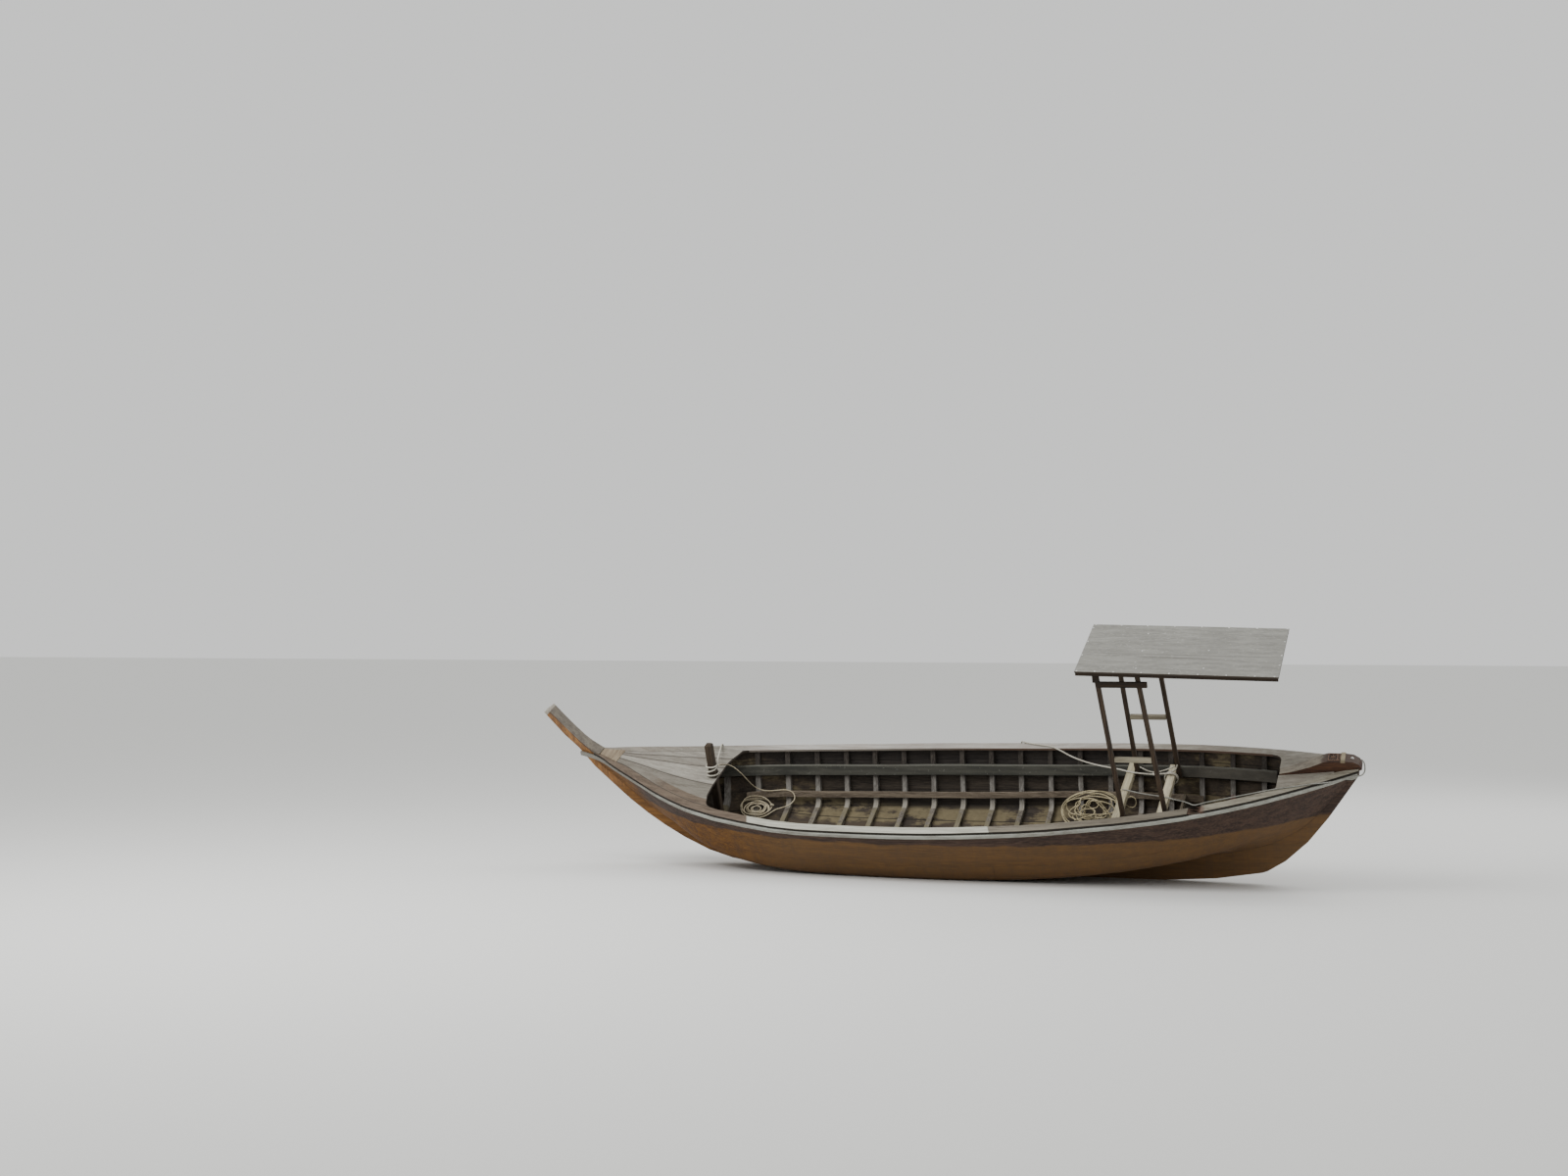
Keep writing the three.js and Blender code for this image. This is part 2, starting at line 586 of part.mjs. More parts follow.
const FOREDECK = [
  { name: 'foredeck_board_port', left: -1, right: -0.3 },
  { name: 'foredeck_board_middle', left: -0.3, right: 0.32 },
  { name: 'foredeck_board_inner_starboard', left: 0.32, right: 0.68 },
  { name: 'foredeck_board_outer_starboard', left: 0.68, right: 1 },
];
for (const { name, left, right } of FOREDECK) {
  const plain = foredeck(left, right);
  const hole = block(-2430, -2354, -38, 38, -60, 120);
  add(name, name.includes('middle') ? cut(plain, hole) : plain, 'grey');
}
add('breasthook', breasthook(), 'brown');
add('foredeck_beam_forward', deckBeam(-3060, -3000, 70), 'dark');
add('foredeck_beam_aft', deckBeam(-2560, -2510, 80), 'dark');
add('stern_beam', deckBeam(3480, 3540, 52), 'dark');
for (const { side, label } of SIDES) add(`stern_board_${label}`, sternBoard(side), 'silver');
add('stern_head', sternHead(), 'red');
add('bitt_post', bitt(), 'dark');

for (const { name, x } of BEAMS) add(name, crossBeam(x), 'pale');
// Each post leans forward and ends under the top rail
const postX = (row, z) => row.foot + ((row.top - row.foot) * (z - POST_FOOT)) / (POST_TOP - POST_FOOT);
for (const row of POSTS) {
  const y = row.side * POST_Y;
  const z = roofTop(row.top + 21) - UNDER_RAIL;
  add(row.name, leg([row.foot, y, POST_FOOT], [postX(row, z), y, z], 42, 46), 'dark');
}

// Rungs between the posts of each side
const RUNGS = [
  { name: 'lower_rung_port', side: -1, z: 590 },
  { name: 'lower_rung_starboard', side: 1, z: 590 },
];
for (const { name, side, z } of RUNGS) {
  const [fore, aft] = POSTS.filter((row) => row.side === side);
  const x0 = postX(fore, z) + 21.5 + GAP + 2;
  const x1 = postX(aft, z) - 21.5 - GAP - 2;
  add(name, block(x0, x1, side * POST_Y - 20, side * POST_Y + 20, z - 22, z + 22), 'brown');
}
const RAILS = [
  { name: 'top_rail_port', side: -1 },
  { name: 'top_rail_starboard', side: 1 },
];
for (const { name, side } of RAILS) {
  const y = side * POST_Y;
  add(name, roofSlab(1740, 3500, y - 23, y + 23, UNDER_BEARERS, ROOF.rail), 'dark');
}
// Rail on the outboard face of each pair of posts, with a cleat at its fore end under the eave
for (const { side, label } of SIDES) {
  const faces = [0, 1].map((k) => side * (POST_Y + 23 + GAP + k * 22)).sort((a, b) => a - b);
  const profile = [
    [1829, 1422], [1872, 1422], [1872, 1370], [2342, 1371], [2342, 1431], [1894, 1430],
    [1894, 1500], [1829, 1500],
  ];
  add(`upper_rail_${label}`, slab(profile, ...faces), 'brown');
}

// Low board across the bottom of the hull, with its ends on the lower stringers
const FOOT_BOARD = { x: 2460, z: -384, high: 96, thick: 26 };
function footBoard() {
  const { x, z, high, thick } = FOOT_BOARD;
  const reach = (level) => reachAt(x + thick / 2, level, PLANK + RIB_DEPTH + 25) - 1.6;
  const row = (at, level) => [-reach(level), reach(level)].map((y) => [at, y, level]);
  const faces = [x - thick / 2, x + thick / 2];
  return board(faces.map((at) => row(at, z + high)), faces.map((at) => row(at, z)));
}
add('foot_board', footBoard(), 'brown');

const BEARERS = [1760, 2240, 2860, 3460];

// Bearers across the top rails and the eaves boards that they carry
function roofFrame() {
  const { x0, x1, half: reach, bearer } = ROOF;
  const across = BEARERS.map((x) => (
    roofSlab(x - 20, x + 20, -reach + 8, reach - 8, UNDER_BOARDS, bearer)));
  const along = [-1, 1].map((s) => {
    const [y0, y1] = [s * (reach - 26), s * (reach - 6)].sort((a, b) => a - b);
    return roofSlab(x0 + 6, x1 - 6, y0, y1, UNDER_BOARDS, bearer + 10);
  });
  return join([...across, ...along]);
}
add('roof_frame', roofFrame(), 'dark');
const ROOF_SEAM = -120;
const roofBoard = (y0, y1) => roofSlab(ROOF.x0, ROOF.x1, y0, y1, 0, ROOF.board);
add('roof_board_port', roofBoard(-ROOF.half, ROOF_SEAM - GAP), 'grey');
add('roof_board_starboard', roofBoard(ROOF_SEAM, ROOF.half), 'grey');

// Round cord along a smooth curve through the points of its route
function cordTube(route, diameter, steps) {
  const sides = 10;
  const ring = Array.from({ length: sides }, (_, k) => {
    const a = (k / sides) * 2 * Math.PI;
    return new THREE.Vector2((diameter / 2) * Math.cos(a), (diameter / 2) * Math.sin(a));
  });
  const path = new THREE.CatmullRomCurve3(route.map((p) => new THREE.Vector3(...p)), false, 'centripetal');
  const shape = new THREE.Shape(ring);
  const solid = new THREE.ExtrudeGeometry(shape, { steps, bevelEnabled: false, extrudePath: path });
  solid.deleteAttribute('normal');
  solid.deleteAttribute('uv');
  return mergeVertices(solid, 1e-3);
}

// Knot at the end of a cord, joined to its tube
function withKnot(tube, [x, y, z], radius) {
  const knot = new THREE.SphereGeometry(radius, 12, 8).translate(x, y, z);
  knot.deleteAttribute('normal');
  knot.deleteAttribute('uv');
  return join([tube, mergeVertices(knot, 1e-3)]);
}

// White line: a knot outside the far rail, over the rail to the bitt, and three turns round it
const MOORING = { diameter: 18, turns: 3, reach: 59, power: 2.6 };
const MOORING_LEAD = [
  [-2527, 694, -60], [-2527, 695, -5], [-2526, 693, 48], [-2523, 672, 84], [-2516, 630, 93],
  [-2484, 510, 108], [-2440, 350, 132], [-2394, 190, 158], [-2350, 60, 178],
];
function mooringRoute() {
  const { turns, reach, power } = MOORING;
  const step = Math.PI / 6;
  const coil = Array.from({ length: turns * 12 + 1 }, (_, k) => {
    const a = -k * step;
    const round = (v) => Math.sign(v) * Math.abs(v) ** (2 / power) * reach;
    const z = k < 12 ? 185 - (k * 55) / 12 : 130 - ((k - 12) * 19) / 12;
    return [-2392 + round(Math.cos(a)), round(Math.sin(a)), z];
  });
  return [...MOORING_LEAD, ...coil];
}
const mooringTube = cordTube(mooringRoute(), MOORING.diameter, 72);
add('mooring_line', withKnot(mooringTube, [-2527, 694, -72], 19), 'whiteLine');

// Tan line: from the turns on the bitt, over the edge of the deck and along the lower stringer
// to the coil in the bottom of the hull
const BOW_LINE = { diameter: 15 };
const BOW_ROUTE = [
  [-2316, -2, 184], [-2312, 60, 166], [-2312, 140, 116], [-2322, 205, 74], [-2330, 256, 58],
  [-2314, 298, 36], [-2278, 326, -12], [-2216, 346, -80], [-2184, 394, -190], [-2164, 440, -306],
  [-2128, 488, -378], [-2072, 522, -404.5], [-2000, 546, -412], [-1930, 557, -415.5], [-1860, 572, -412],
  [-1790, 586, -410], [-1730, 590, -424], [-1694, 568, -456], [-1698, 528, -500], [-1744, 478, -540],
  [-1820, 434, -552], [-1896, 408, -552],
];
add('bow_line', cordTube(BOW_ROUTE, BOW_LINE.diameter, 60), 'tanLine');

// Point over the inside of the hull: side way u runs along the section from the keel (0) up to
// the rail (7)
function over(x, depth, u) {
  const path = within(x, depth);
  const i = Math.min(path.length - 2, Math.floor(u));
  return path[i].map((v, k) => v + (path[i + 1][k] - v) * (u - i));
}

// Heap or coil of line that lies on the ribs and over the lower stringer, domed toward the
// middle of the hull
function lump({ x, reach, low, high, deep }) {
  const [rows, columns] = [12, 12];
  const [mid, wide] = [(low + high) / 2, (high - low) / 2];
  const grid = (top) => Array.from({ length: rows + 1 }, (_, i) => {
    const p = -Math.cos((i / rows) * Math.PI) * 0.985;
    const [room, foot] = [3, 8].map((power) => Math.sqrt(1 - Math.abs(p) ** power));
    return Array.from({ length: columns + 1 }, (__, j) => {
      const q = -Math.cos((j / columns) * Math.PI);
      const swell = Math.sqrt(room * Math.sqrt(Math.max(0, 1 - q * q)));
      const at = x + reach * p;
      const u = mid + wide * (q < 0 ? foot : room) * q;
      const rest = PLANK + RIB_DEPTH + 1 + 32 * THREE.MathUtils.smoothstep(u, 1.2, 2.8);
      const [y, z] = over(at, rest + (top ? 8 + deep * swell : 0), u);
      return [at, y, z];
    });
  });
  return board(grid(false), grid(true));
}
const COIL = { x: -2127, reach: 203, low: 0.48, high: 4.5, deep: 46 };
const HEAP = { x: 1492, reach: 384, low: 0.4, high: 5.35, deep: 190 };
add('bow_line_coil', lump(COIL), 'tanLine');
add('bottom_line_heap', lump(HEAP), 'whiteLine');

// White line: over the far rail and both cross-beams, and two turns round the after one
const BEAM_LINE = { diameter: 16, turns: 2 };
const BEAM_LINE_LEAD = [
  [712, 986, -84], [712, 987, -30], [714, 984, 14], [722, 962, 38], [760, 940, 34], [860, 902, 37],
  [963, 862, 46], [1050, 826, 54], [1140, 786, 40], [1290, 708, 2], [1420, 640, -12], [1560, 566, -12],
  [1700, 500, -4], [1830, 440, 6], [1944, 388, 7.2], [2060, 368, 4], [2180, 352, 6], [2290, 344, 20],
];
function beamLineRoute() {
  const coil = Array.from({ length: BEAM_LINE.turns * 12 + 1 }, (_, k) => {
    const a = Math.PI * 0.5 - (k / 12) * 2 * Math.PI;
    return [2358.2 + 65 * Math.cos(a), 344 + k * 1.6, -38 + 63 * Math.sin(a)];
  });
  return [...BEAM_LINE_LEAD, ...coil, [2400, 400, 40], [2418, 404, 90]];
}
const beamTube = cordTube(beamLineRoute(), BEAM_LINE.diameter, 78);
add('beam_line', withKnot(beamTube, [712, 986, -96], 17), 'whiteLine');

// White strand that sags between the two far posts
const POST_LINE = { diameter: 14 };
const POST_ROUTE = [
  [2035, 452, 34], [2060, 446, 22], [2100, 441, 2], [2140, 438, -10], [2180, 437, -14], [2220, 438, -10],
  [2270, 440, 4], [2330, 444, 26], [2366, 449, 40], [2389.8, 455, 48],
];
add('post_line', cordTube(POST_ROUTE, POST_LINE.diameter, 14), 'whiteLine');

// Thin grey line: from the front beam over the after beam, round the break in the near rail, and
// aft along that rail to the stern head
const STERN_LINE = { diameter: 13 };
const STERN_ROUTE = [
  [1926, 24, 5], [1990, 0, 5], [2090, -32, 0], [2200, -68, 2], [2310, -102, 7], [2390, -128, 8],
  [2460, -200, 30], [2560, -330, 84], [2650, -470, 138], [2706, -566, 172], [2752, -598, 178],
  [2830, -572, 186], [2950, -534, 199], [3100, -478, 216], [3250, -428, 234], [3400, -378, 252],
  [3520, -350, 267], [3660, -334, 285], [3800, -300, 304], [3900, -262, 318], [3990, -232, 330],
  [4060, -204, 342], [4120, -188, 330], [4180, -169, 314], [4230, -120, 302], [4250, -60, 306],
  [4252, -12, 330], [4244, 8, 366], [4220, 14, 396],
];
add('stern_line', cordTube(STERN_ROUTE, STERN_LINE.diameter, 80), 'greyLine');

const CORDS = [
  'mooring_line', 'bow_line', 'bow_line_coil', 'bottom_line_heap', 'beam_line', 'post_line', 'stern_line',
];

// Rest the boat on its keel and port bilge, then centre it over the floor without its cords
function restingHeel() {
  const angles = STATIONS.flatMap((x) => skin(x).slice(1)
    .map(([y, z]) => Math.atan2(z - KEEL_BOTTOM, y - KEEL_HALF)));
  return Math.min(...angles);
}

boat.rotation.x = restingHeel();
boat.name = 'boat';
const root = new THREE.Group();
root.name = 'longtail_boat';
root.add(boat);
root.updateMatrixWorld(true);
const bounds = new THREE.Box3();
for (const mesh of boat.children) {
  if (!CORDS.includes(mesh.name)) bounds.expandByObject(mesh, true);
}
boat.position.set(
  -(bounds.min.x + bounds.max.x) / 2,
  -(bounds.min.y + bounds.max.y) / 2,
  -bounds.min.z,
);
root.updateMatrixWorld(true);

export default root;
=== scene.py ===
from math import copysign, cos, hypot, pi, radians, sin, sqrt, tan
import bpy
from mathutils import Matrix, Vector


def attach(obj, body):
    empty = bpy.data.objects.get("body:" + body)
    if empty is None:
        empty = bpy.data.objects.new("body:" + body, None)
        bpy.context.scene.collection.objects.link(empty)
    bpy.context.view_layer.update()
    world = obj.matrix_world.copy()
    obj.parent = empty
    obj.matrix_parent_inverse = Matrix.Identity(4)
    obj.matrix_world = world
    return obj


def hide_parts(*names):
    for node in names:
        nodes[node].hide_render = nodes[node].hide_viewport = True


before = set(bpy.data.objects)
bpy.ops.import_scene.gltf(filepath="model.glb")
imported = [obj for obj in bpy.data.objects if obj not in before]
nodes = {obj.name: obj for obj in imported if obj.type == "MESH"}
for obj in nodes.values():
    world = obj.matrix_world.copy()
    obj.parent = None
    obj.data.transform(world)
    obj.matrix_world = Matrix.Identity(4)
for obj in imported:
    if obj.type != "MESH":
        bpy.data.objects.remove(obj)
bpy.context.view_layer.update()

# The boat lies over on its port bilge. Hull places are in millimetres: x aft, y to starboard,
# z up from the rail amidships, with the keel level.
lie = {"heel": radians(23.976745802), "at": Vector((-0.014, 0.09326605, 0.9011352))}


def place(x, y, z):
    # hull place in millimetres -> scene place in metres
    c, s = cos(lie["heel"]), sin(lie["heel"])
    return lie["at"] + Vector((x, y * c - z * s, y * s + z * c)) / 1000


def places(spots):
    return [place(*spot) for spot in spots]


def alone():
    bpy.ops.object.select_all(action="DESELECT")
    bpy.context.view_layer.objects.active = None


def makeActive(piece):
    alone()
    piece.select_set(True)
    bpy.context.view_layer.objects.active = piece


def turnOutward():
    # the faces of the active piece
    bpy.ops.object.mode_set(mode="EDIT")
    bpy.ops.mesh.select_all(action="SELECT")
    bpy.ops.mesh.normals_make_consistent(inside=False)
    bpy.ops.object.mode_set(mode="OBJECT")


# camera
camera = {"at": (5.496, -20.3977, 2.5282), "turn": (91.059, 0, 19.17), "lens": 47.604}
alone()
bpy.ops.object.camera_add(location=camera["at"], rotation=[radians(a) for a in camera["turn"]])
eye = bpy.context.object
eye.name = "photo_view"
eye.data.lens = camera["lens"]
eye.data.sensor_width = 36
bpy.context.scene.camera = eye
print("camera: at the height of a standing person, off the port side")


# ropes
def smoothRoute(points, step):
    # even points, step metres apart, along a smooth curve through the given ones
    ends = [2 * points[0] - points[1], *points, 2 * points[-1] - points[-2]]
    fine = []
    for a, b, c, d in zip(ends, ends[1:], ends[2:], ends[3:]):
        gaps = [max(1e-5, (q - p).length) ** 0.5 for p, q in ((a, b), (b, c), (c, d))]
        lean = (b - a) / gaps[0] - (c - a) / (gaps[0] + gaps[1]) + (c - b) / gaps[1]
        over = (c - b) / gaps[1] - (d - b) / (gaps[1] + gaps[2]) + (d - c) / gaps[2]
        m, n = lean * gaps[1], over * gaps[1]
        many = max(2, int((c - b).length / step * 1.5))
        for k in range(many):
            t = k / many
            fine.append(b * (2 * t ** 3 - 3 * t ** 2 + 1) + m * (t ** 3 - 2 * t ** 2 + t)
                        + c * (3 * t ** 2 - 2 * t ** 3) + n * (t ** 3 - t ** 2))
    fine.append(points[-1])
    even, left = [fine[0]], step
    for p, q in zip(fine, fine[1:]):
        way = (q - p).length
        done = 0.0
        while way - done >= left:
            done += left
            even.append(p.lerp(q, done / way))
            left = step
        left -= way - done
    if (even[-1] - fine[-1]).length > step * 0.3:
        even.append(fine[-1])
    return even


def relax(points, passes):
    # takes the kinks out of a route and keeps its ends
    for _ in range(passes):
        inner = [(a + b * 2 + c) / 4 for a, b, c in zip(points, points[1:], points[2:])]
        points = [points[0], *inner, points[-1]]
    return points


def easeBends(route, rope):
    # draws in the rope around each bend tighter than it would lie in, a little at a time
    least, reach, rounds, passes = rope["diameter"] * 2.2, 8, 8, 40
    for k in range(rounds * passes):
        tight = []
        for i in range(2, len(route) - 2):
            u, v = route[i] - route[i - 2], route[i + 2] - route[i]
            if (u.length + v.length) / 2 < least * u.angle(v, 0):
                tight.append(i)
        if not tight:
            break
        near = {j for i in tight for j in range(max(1, i - reach), min(len(route) - 1, i + reach + 1))}
        route = [(route[j - 1] + p * 2 + route[j + 1]) / 4 if j in near else p for j, p in enumerate(route)]
        if k % passes == passes - 1:
            route = smoothRoute(route, rope["step"])
    return smoothRoute(route, rope["step"])


def routeLength(points):
    return sum((q - p).length for p, q in zip(points, points[1:]))


def layRope(name, route, rope, closed=False):
    # three twisted strands as one skin: the section has three lobes and turns along the rope
    sides, radius = rope.get("sides", 12), rope["diameter"] / 2
    ahead = (route[1] - route[0]).normalized()
    up = ahead.orthogonal().normalized()
    verts, faces = [], []
    run = 0.0
    for i, p in enumerate(route):
        nxt = route[min(i + 1, len(route) - 1)] - route[max(i - 1, 0)]
        if closed:
            nxt = route[(i + 1) % len(route)] - route[i - 1]
        way = nxt.normalized()
        up = (up - way * up.dot(way)).normalized()
        side = way.cross(up)
        if i:
            run += (p - route[i - 1]).length
        twist = run / rope["pitch"] * 2 * pi
        for k in range(sides):
            a = 2 * pi * k / sides
            lobe = abs(sin(1.5 * (a - twist)))
            r = radius * (0.84 + 0.16 * lobe ** 0.6)
            verts.append(p + (up * cos(a) + side * sin(a)) * r)
    rings = len(route)
    for i in range(rings if closed else rings - 1):
        for k in range(sides):
            a, b = i * sides, ((i + 1) % rings) * sides
            faces.append((a + k, a + (k + 1) % sides, b + (k + 1) % sides, b + k))
    if not closed:
        faces += [tuple(range(sides))[::-1], tuple((rings - 1) * sides + k for k in range(sides))]
    mesh = bpy.data.meshes.new(name)
    mesh.from_pydata(verts, [], faces)
    mesh.update()
    piece = bpy.data.objects.new(name, mesh)
    bpy.context.scene.collection.objects.link(piece)
    makeActive(piece)
    turnOutward()
    bpy.ops.object.shade_smooth_by_angle(angle=radians(60))
    return piece


def layCord(name, points, rope, stands):
    # a rope along the points, in place of the solids named in stands
    route = easeBends(smoothRoute(points, rope["step"]), rope)
    piece = layRope(name, route, rope)
    length = routeLength(route)
    print(f"rope {name}: {length:.2f} m")
    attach(piece, "root")
    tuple(route[0])
    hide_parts(*stands)
    return piece


def tieKnot(name, at, size, rope, diameter):
    # overhand knot drawn up tight, a closed trefoil of the same rope
    ring = []
    for k in range(90):
        a = 2 * pi * k / 90
        ring.append(Vector((sin(a) + 2 * sin(2 * a), cos(a) - 2 * cos(2 * a),
                            -1.2 * sin(3 * a))) * size / 3.6 + at)
    piece = layRope(name, ring, {**rope, "diameter": diameter}, closed=True)
    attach(piece, "root")
    return piece


slack = {"slot": "white_line", "far end": "object", "stiffness": "limp", "lay": "loose"}
mooring = {**slack, "diameter": 0.018, "pitch": 0.055, "step": 0.007}
mooringLead = [
    (-2527, 694, -60), (-2527, 695, -5), (-2526, 693, 48), (-2523, 672, 84), (-2516, 630, 93),
    (-2484, 510, 108), (-2440, 350, 132), (-2394, 190, 158), (-2350, 60, 178),
]
bitt = {"x": -2392, "half": 59, "squareness": 2.6, "steps": 12}


def aroundBitt():
    # one turn high up, half a turn down, then turns laid close at the foot
    turns = []
    for k in range(37):
        a = -2 * pi * k / bitt["steps"]
        z = 184 - k if k < 12 else 172 - (k - 12) * 12 if k < 18 else 100 - (k - 18) * 1.75
        u, v = (copysign(abs(w) ** (2 / bitt["squareness"]) * bitt["half"], w)
                for w in (cos(a), sin(a)))
        turns.append((bitt["x"] + u, v, z))
    return turns


mooringKnot = tieKnot("mooring_line_knot", place(-2527, 694, -76), 0.026, mooring, 0.015)
mooringLine = layCord("mooring_rope", places(mooringLead + aroundBitt()), mooring,
                      ["mooring_line"])


class Bed:
    # the space in which a coil lies, found by looking from the middle of the hull to its CAD solid
    cells, rim, sweep, above, far = 24, 0.97, 130, 200, 1000

    def __init__(self, node, x, reach):
        self.solid, self.x, self.reach = nodes[node], x, reach
        half = self.cells // 2
        self.spans = []
        for i in range(self.cells + 1):
            at = x + reach * self.rim * (i / half - 1)
            seen = [a for a in range(self.sweep) if self.look(at, radians(a))]
            self.spans.append((min(seen), max(seen)) if seen else None)
        # a row that misses the solid takes the span of its neighbour nearer the middle
        for i in range(half - 1, -1, -1):
            self.spans[i] = self.spans[i] or self.spans[i + 1]
        for i in range(half + 1, self.cells + 1):
            self.spans[i] = self.spans[i] or self.spans[i - 1]

    def look(self, x, angle):
        start = place(x, 0, self.above)
        way = place(x, sin(angle) * self.far, self.above - cos(angle) * self.far) - start
        way.normalize()
        hit, top, _, _ = self.solid.ray_cast(start, way)
        if not hit:
            return None
        out, low, _, _ = self.solid.ray_cast(top + way * 0.002, way)
        return top, low if out else top, way

    def point(self, p, q, layer, radius):
        # p along the boat, q up its side, both -1 to 1, layer 0 at the top to 1 at the planks
        f = min(self.cells - 0.001, max(0, (p + 1) * self.cells / 2))
        a, b = self.spans[int(f)], self.spans[int(f) + 1]
        low, high = (a[k] + (b[k] - a[k]) * (f - int(f)) for k in (0, 1))
        swing = q / max(0.2, sqrt(1 - p * p)) * (high - low) / 2 * 0.95
        seen = self.look(self.x + self.reach * self.rim * p, radians((low + high) / 2 + swing))
        if not seen:
            return None
        top, floor, way = seen
        deep = max(0, (floor - top).length - 2 * radius)
        return top + way * (radius + deep * layer)


def coilPoints(bed, turns, radius):
    # turns: places on the bed as (p, q, layer), drawn in where they pass its rim
    found, most = [], 0.96
    for p, q, layer in turns:
        size = hypot(p, q)
        if size > most:
            p, q = p * most / size, q * most / size
        at = bed.point(p, q, min(1, max(0, layer)), radius)
        if at and (not found or (at - found[-1]).length > radius):
            found.append(at)
    return found


bow = {**slack, "diameter": 0.0128, "pitch": 0.045, "step": 0.006, "slot": "tan_line",
       "far end": "knot", "lay": "coiled"}
bowRoute = [
    (-2316, -2, 184), (-2312, 60, 166), (-2312, 140, 116), (-2322, 205, 74), (-2330, 256, 58),
    (-2314, 298, 36), (-2278, 326, -12), (-2216, 346, -80), (-2184, 394, -190), (-2164, 440, -306),
    (-2128, 488, -378), (-2072, 522, -404.5), (-2000, 546, -412), (-1930, 562, -415), (-1870, 588, -408),
    (-1820, 602, -407), (-1770, 606, -425), (-1722, 590, -468), (-1710, 556, -508), (-1742, 510, -540),
    (-1804, 470, -556), (-1870, 440, -560), (-1918, 420, -562),
]


def bowTurns():
    # a flat coil: seven turns in to the middle, three out again across them
    turns, steps, points = 10, 20, []
    for k in range(turns * steps):
        n = k / steps
        a, b = 0.25 + n * 2 * pi, 2.3 * n + 0.6
        reach = (0.93 - 0.1 * n if n < 7 else 0.23 + 0.19 * (n - 7)) + 0.03 * sin(3.7 * n)
        off = min(0.97 - reach, 0.13)
        points.append((off * cos(b) + reach * cos(a),
                       -off * sin(b) - reach * (0.9 - 0.1 * sin(1.1 * n)) * sin(a),
                       0.95 - 0.93 * n / turns + 0.06 * sin(a * 1.13)))
    return points


coilBed = Bed("bow_line_coil", -2127, 203)
bowPoints = relax(places(bowRoute) + coilPoints(coilBed, bowTurns(), bow["diameter"] / 2), 3)
bowEnd = tieKnot("bow_line_knot", bowPoints[-1], 0.02, bow, 0.013)
bowLine = layCord("bow_rope", bowPoints, bow, ["bow_line", "bow_line_coil"])

heap = {**slack, "diameter": 0.0128, "pitch": 0.045, "step": 0.0066, "sides": 9,
        "far end": "knot", "lay": "coiled"}
heapTail = [
    (1868, 577, -385), (1888, 585, -373), (1914, 582, -373), (1938, 574, -381), (1955, 566, -402),
    (1958, 571, -450), (1942, 585, -498), (1911, 590, -533), (1869, 591, -551),
]


def heapTurns():
    # wide loops laid first, then smaller flat ones thrown across each other at every angle
    turns, steps, points = 18, 18, []
    for k in range(turns * steps):
        n = k / steps
        a, b = 2 * pi * n - 0.55, 2.25 * n + 0.7 * sin(0.9 * n)
        wide = min(1.0, max(0.0, 1.4 - n / 2.4))
        uneven = 0.17 * sin(2.17 * n + 2.0) + 0.09 * sin(5.3 * n)
        reach = 0.52 + 0.43 * wide + (1 - wide) * uneven
        flat = 0.62 + 0.36 * wide + (1 - wide) * 0.24 * sin(1.31 * n + 1.0)
        off = min(0.97 - reach, 0.48) * (0.35 + 0.65 * abs(sin(0.77 * n)))
        u, v = reach * cos(a), -reach * flat * sin(a)
        lean = (0.95 * n + 0.6 * sin(1.7 * n)) * (1 - wide)
        points.append((off * cos(b) + u * cos(lean) - v * sin(lean),
                       -off * sin(b) + u * sin(lean) + v * cos(lean),
                       0.95 - 0.92 * n / turns + 0.1 * sin(1.9 * a + n)))
    return points


heapBed = Bed("bottom_line_heap", 1492, 384)
heapPoints = places(heapTail) + coilPoints(heapBed, heapTurns(), heap["diameter"] / 2)
heapPoints = relax(heapPoints, 3)
heapEnd = tieKnot("heap_line_knot", heapPoints[-1], 0.015, heap, 0.012)
heapLine = layCord("heap_rope", heapPoints, heap, ["bottom_line_heap"])

beamRope = {**slack, "diameter": 0.016, "pitch": 0.05, "step": 0.0065}
beamLead = [
    (712, 986, -84), (712, 987, -30), (714, 984, 14), (722, 962, 38), (760, 940, 34), (860, 902, 37),
    (963, 862, 46), (1050, 826, 54), (1140, 786, 40), (1290, 708, 2), (1420, 640, -12), (1560, 566, -12),
    (1700, 500, -4), (1830, 440, 6), (1944, 388, 7.2), (2060, 368, 4), (2180, 352, 6), (2290, 344, 20),
]


def aroundBeam():
    turns = []
    for k in range(25):
        a = pi * 0.5 - k / 12 * 2 * pi
        turns.append((2358.2 + 65 * cos(a), 344 + k * 1.6, -38 + 63 * sin(a)))
    return turns + [(2400, 400, 40), (2418, 404, 90)]


beamKnot = tieKnot("beam_line_knot", place(712, 986, -100), 0.024, beamRope, 0.014)
beamHitch = tieKnot("beam_line_hitch", place(2196, 351, 8), 0.024, beamRope, 0.014)
beamLine = layCord("beam_rope", places(beamLead + aroundBeam()), beamRope, ["beam_line"])

postRope = {**slack, "diameter": 0.014, "pitch": 0.045, "step": 0.006, "lay": "hanging"}
postRoute = [
    (2035, 452, 34), (2060, 446, 22), (2100, 441, 2), (2140, 438, -10), (2180, 437, -14), (2220, 438, -10),
    (2270, 440, 4), (2330, 444, 26), (2366, 449, 40), (2389.8, 455, 48),
]
postLine = layCord("post_rope", places(postRoute), postRope, ["post_line"])

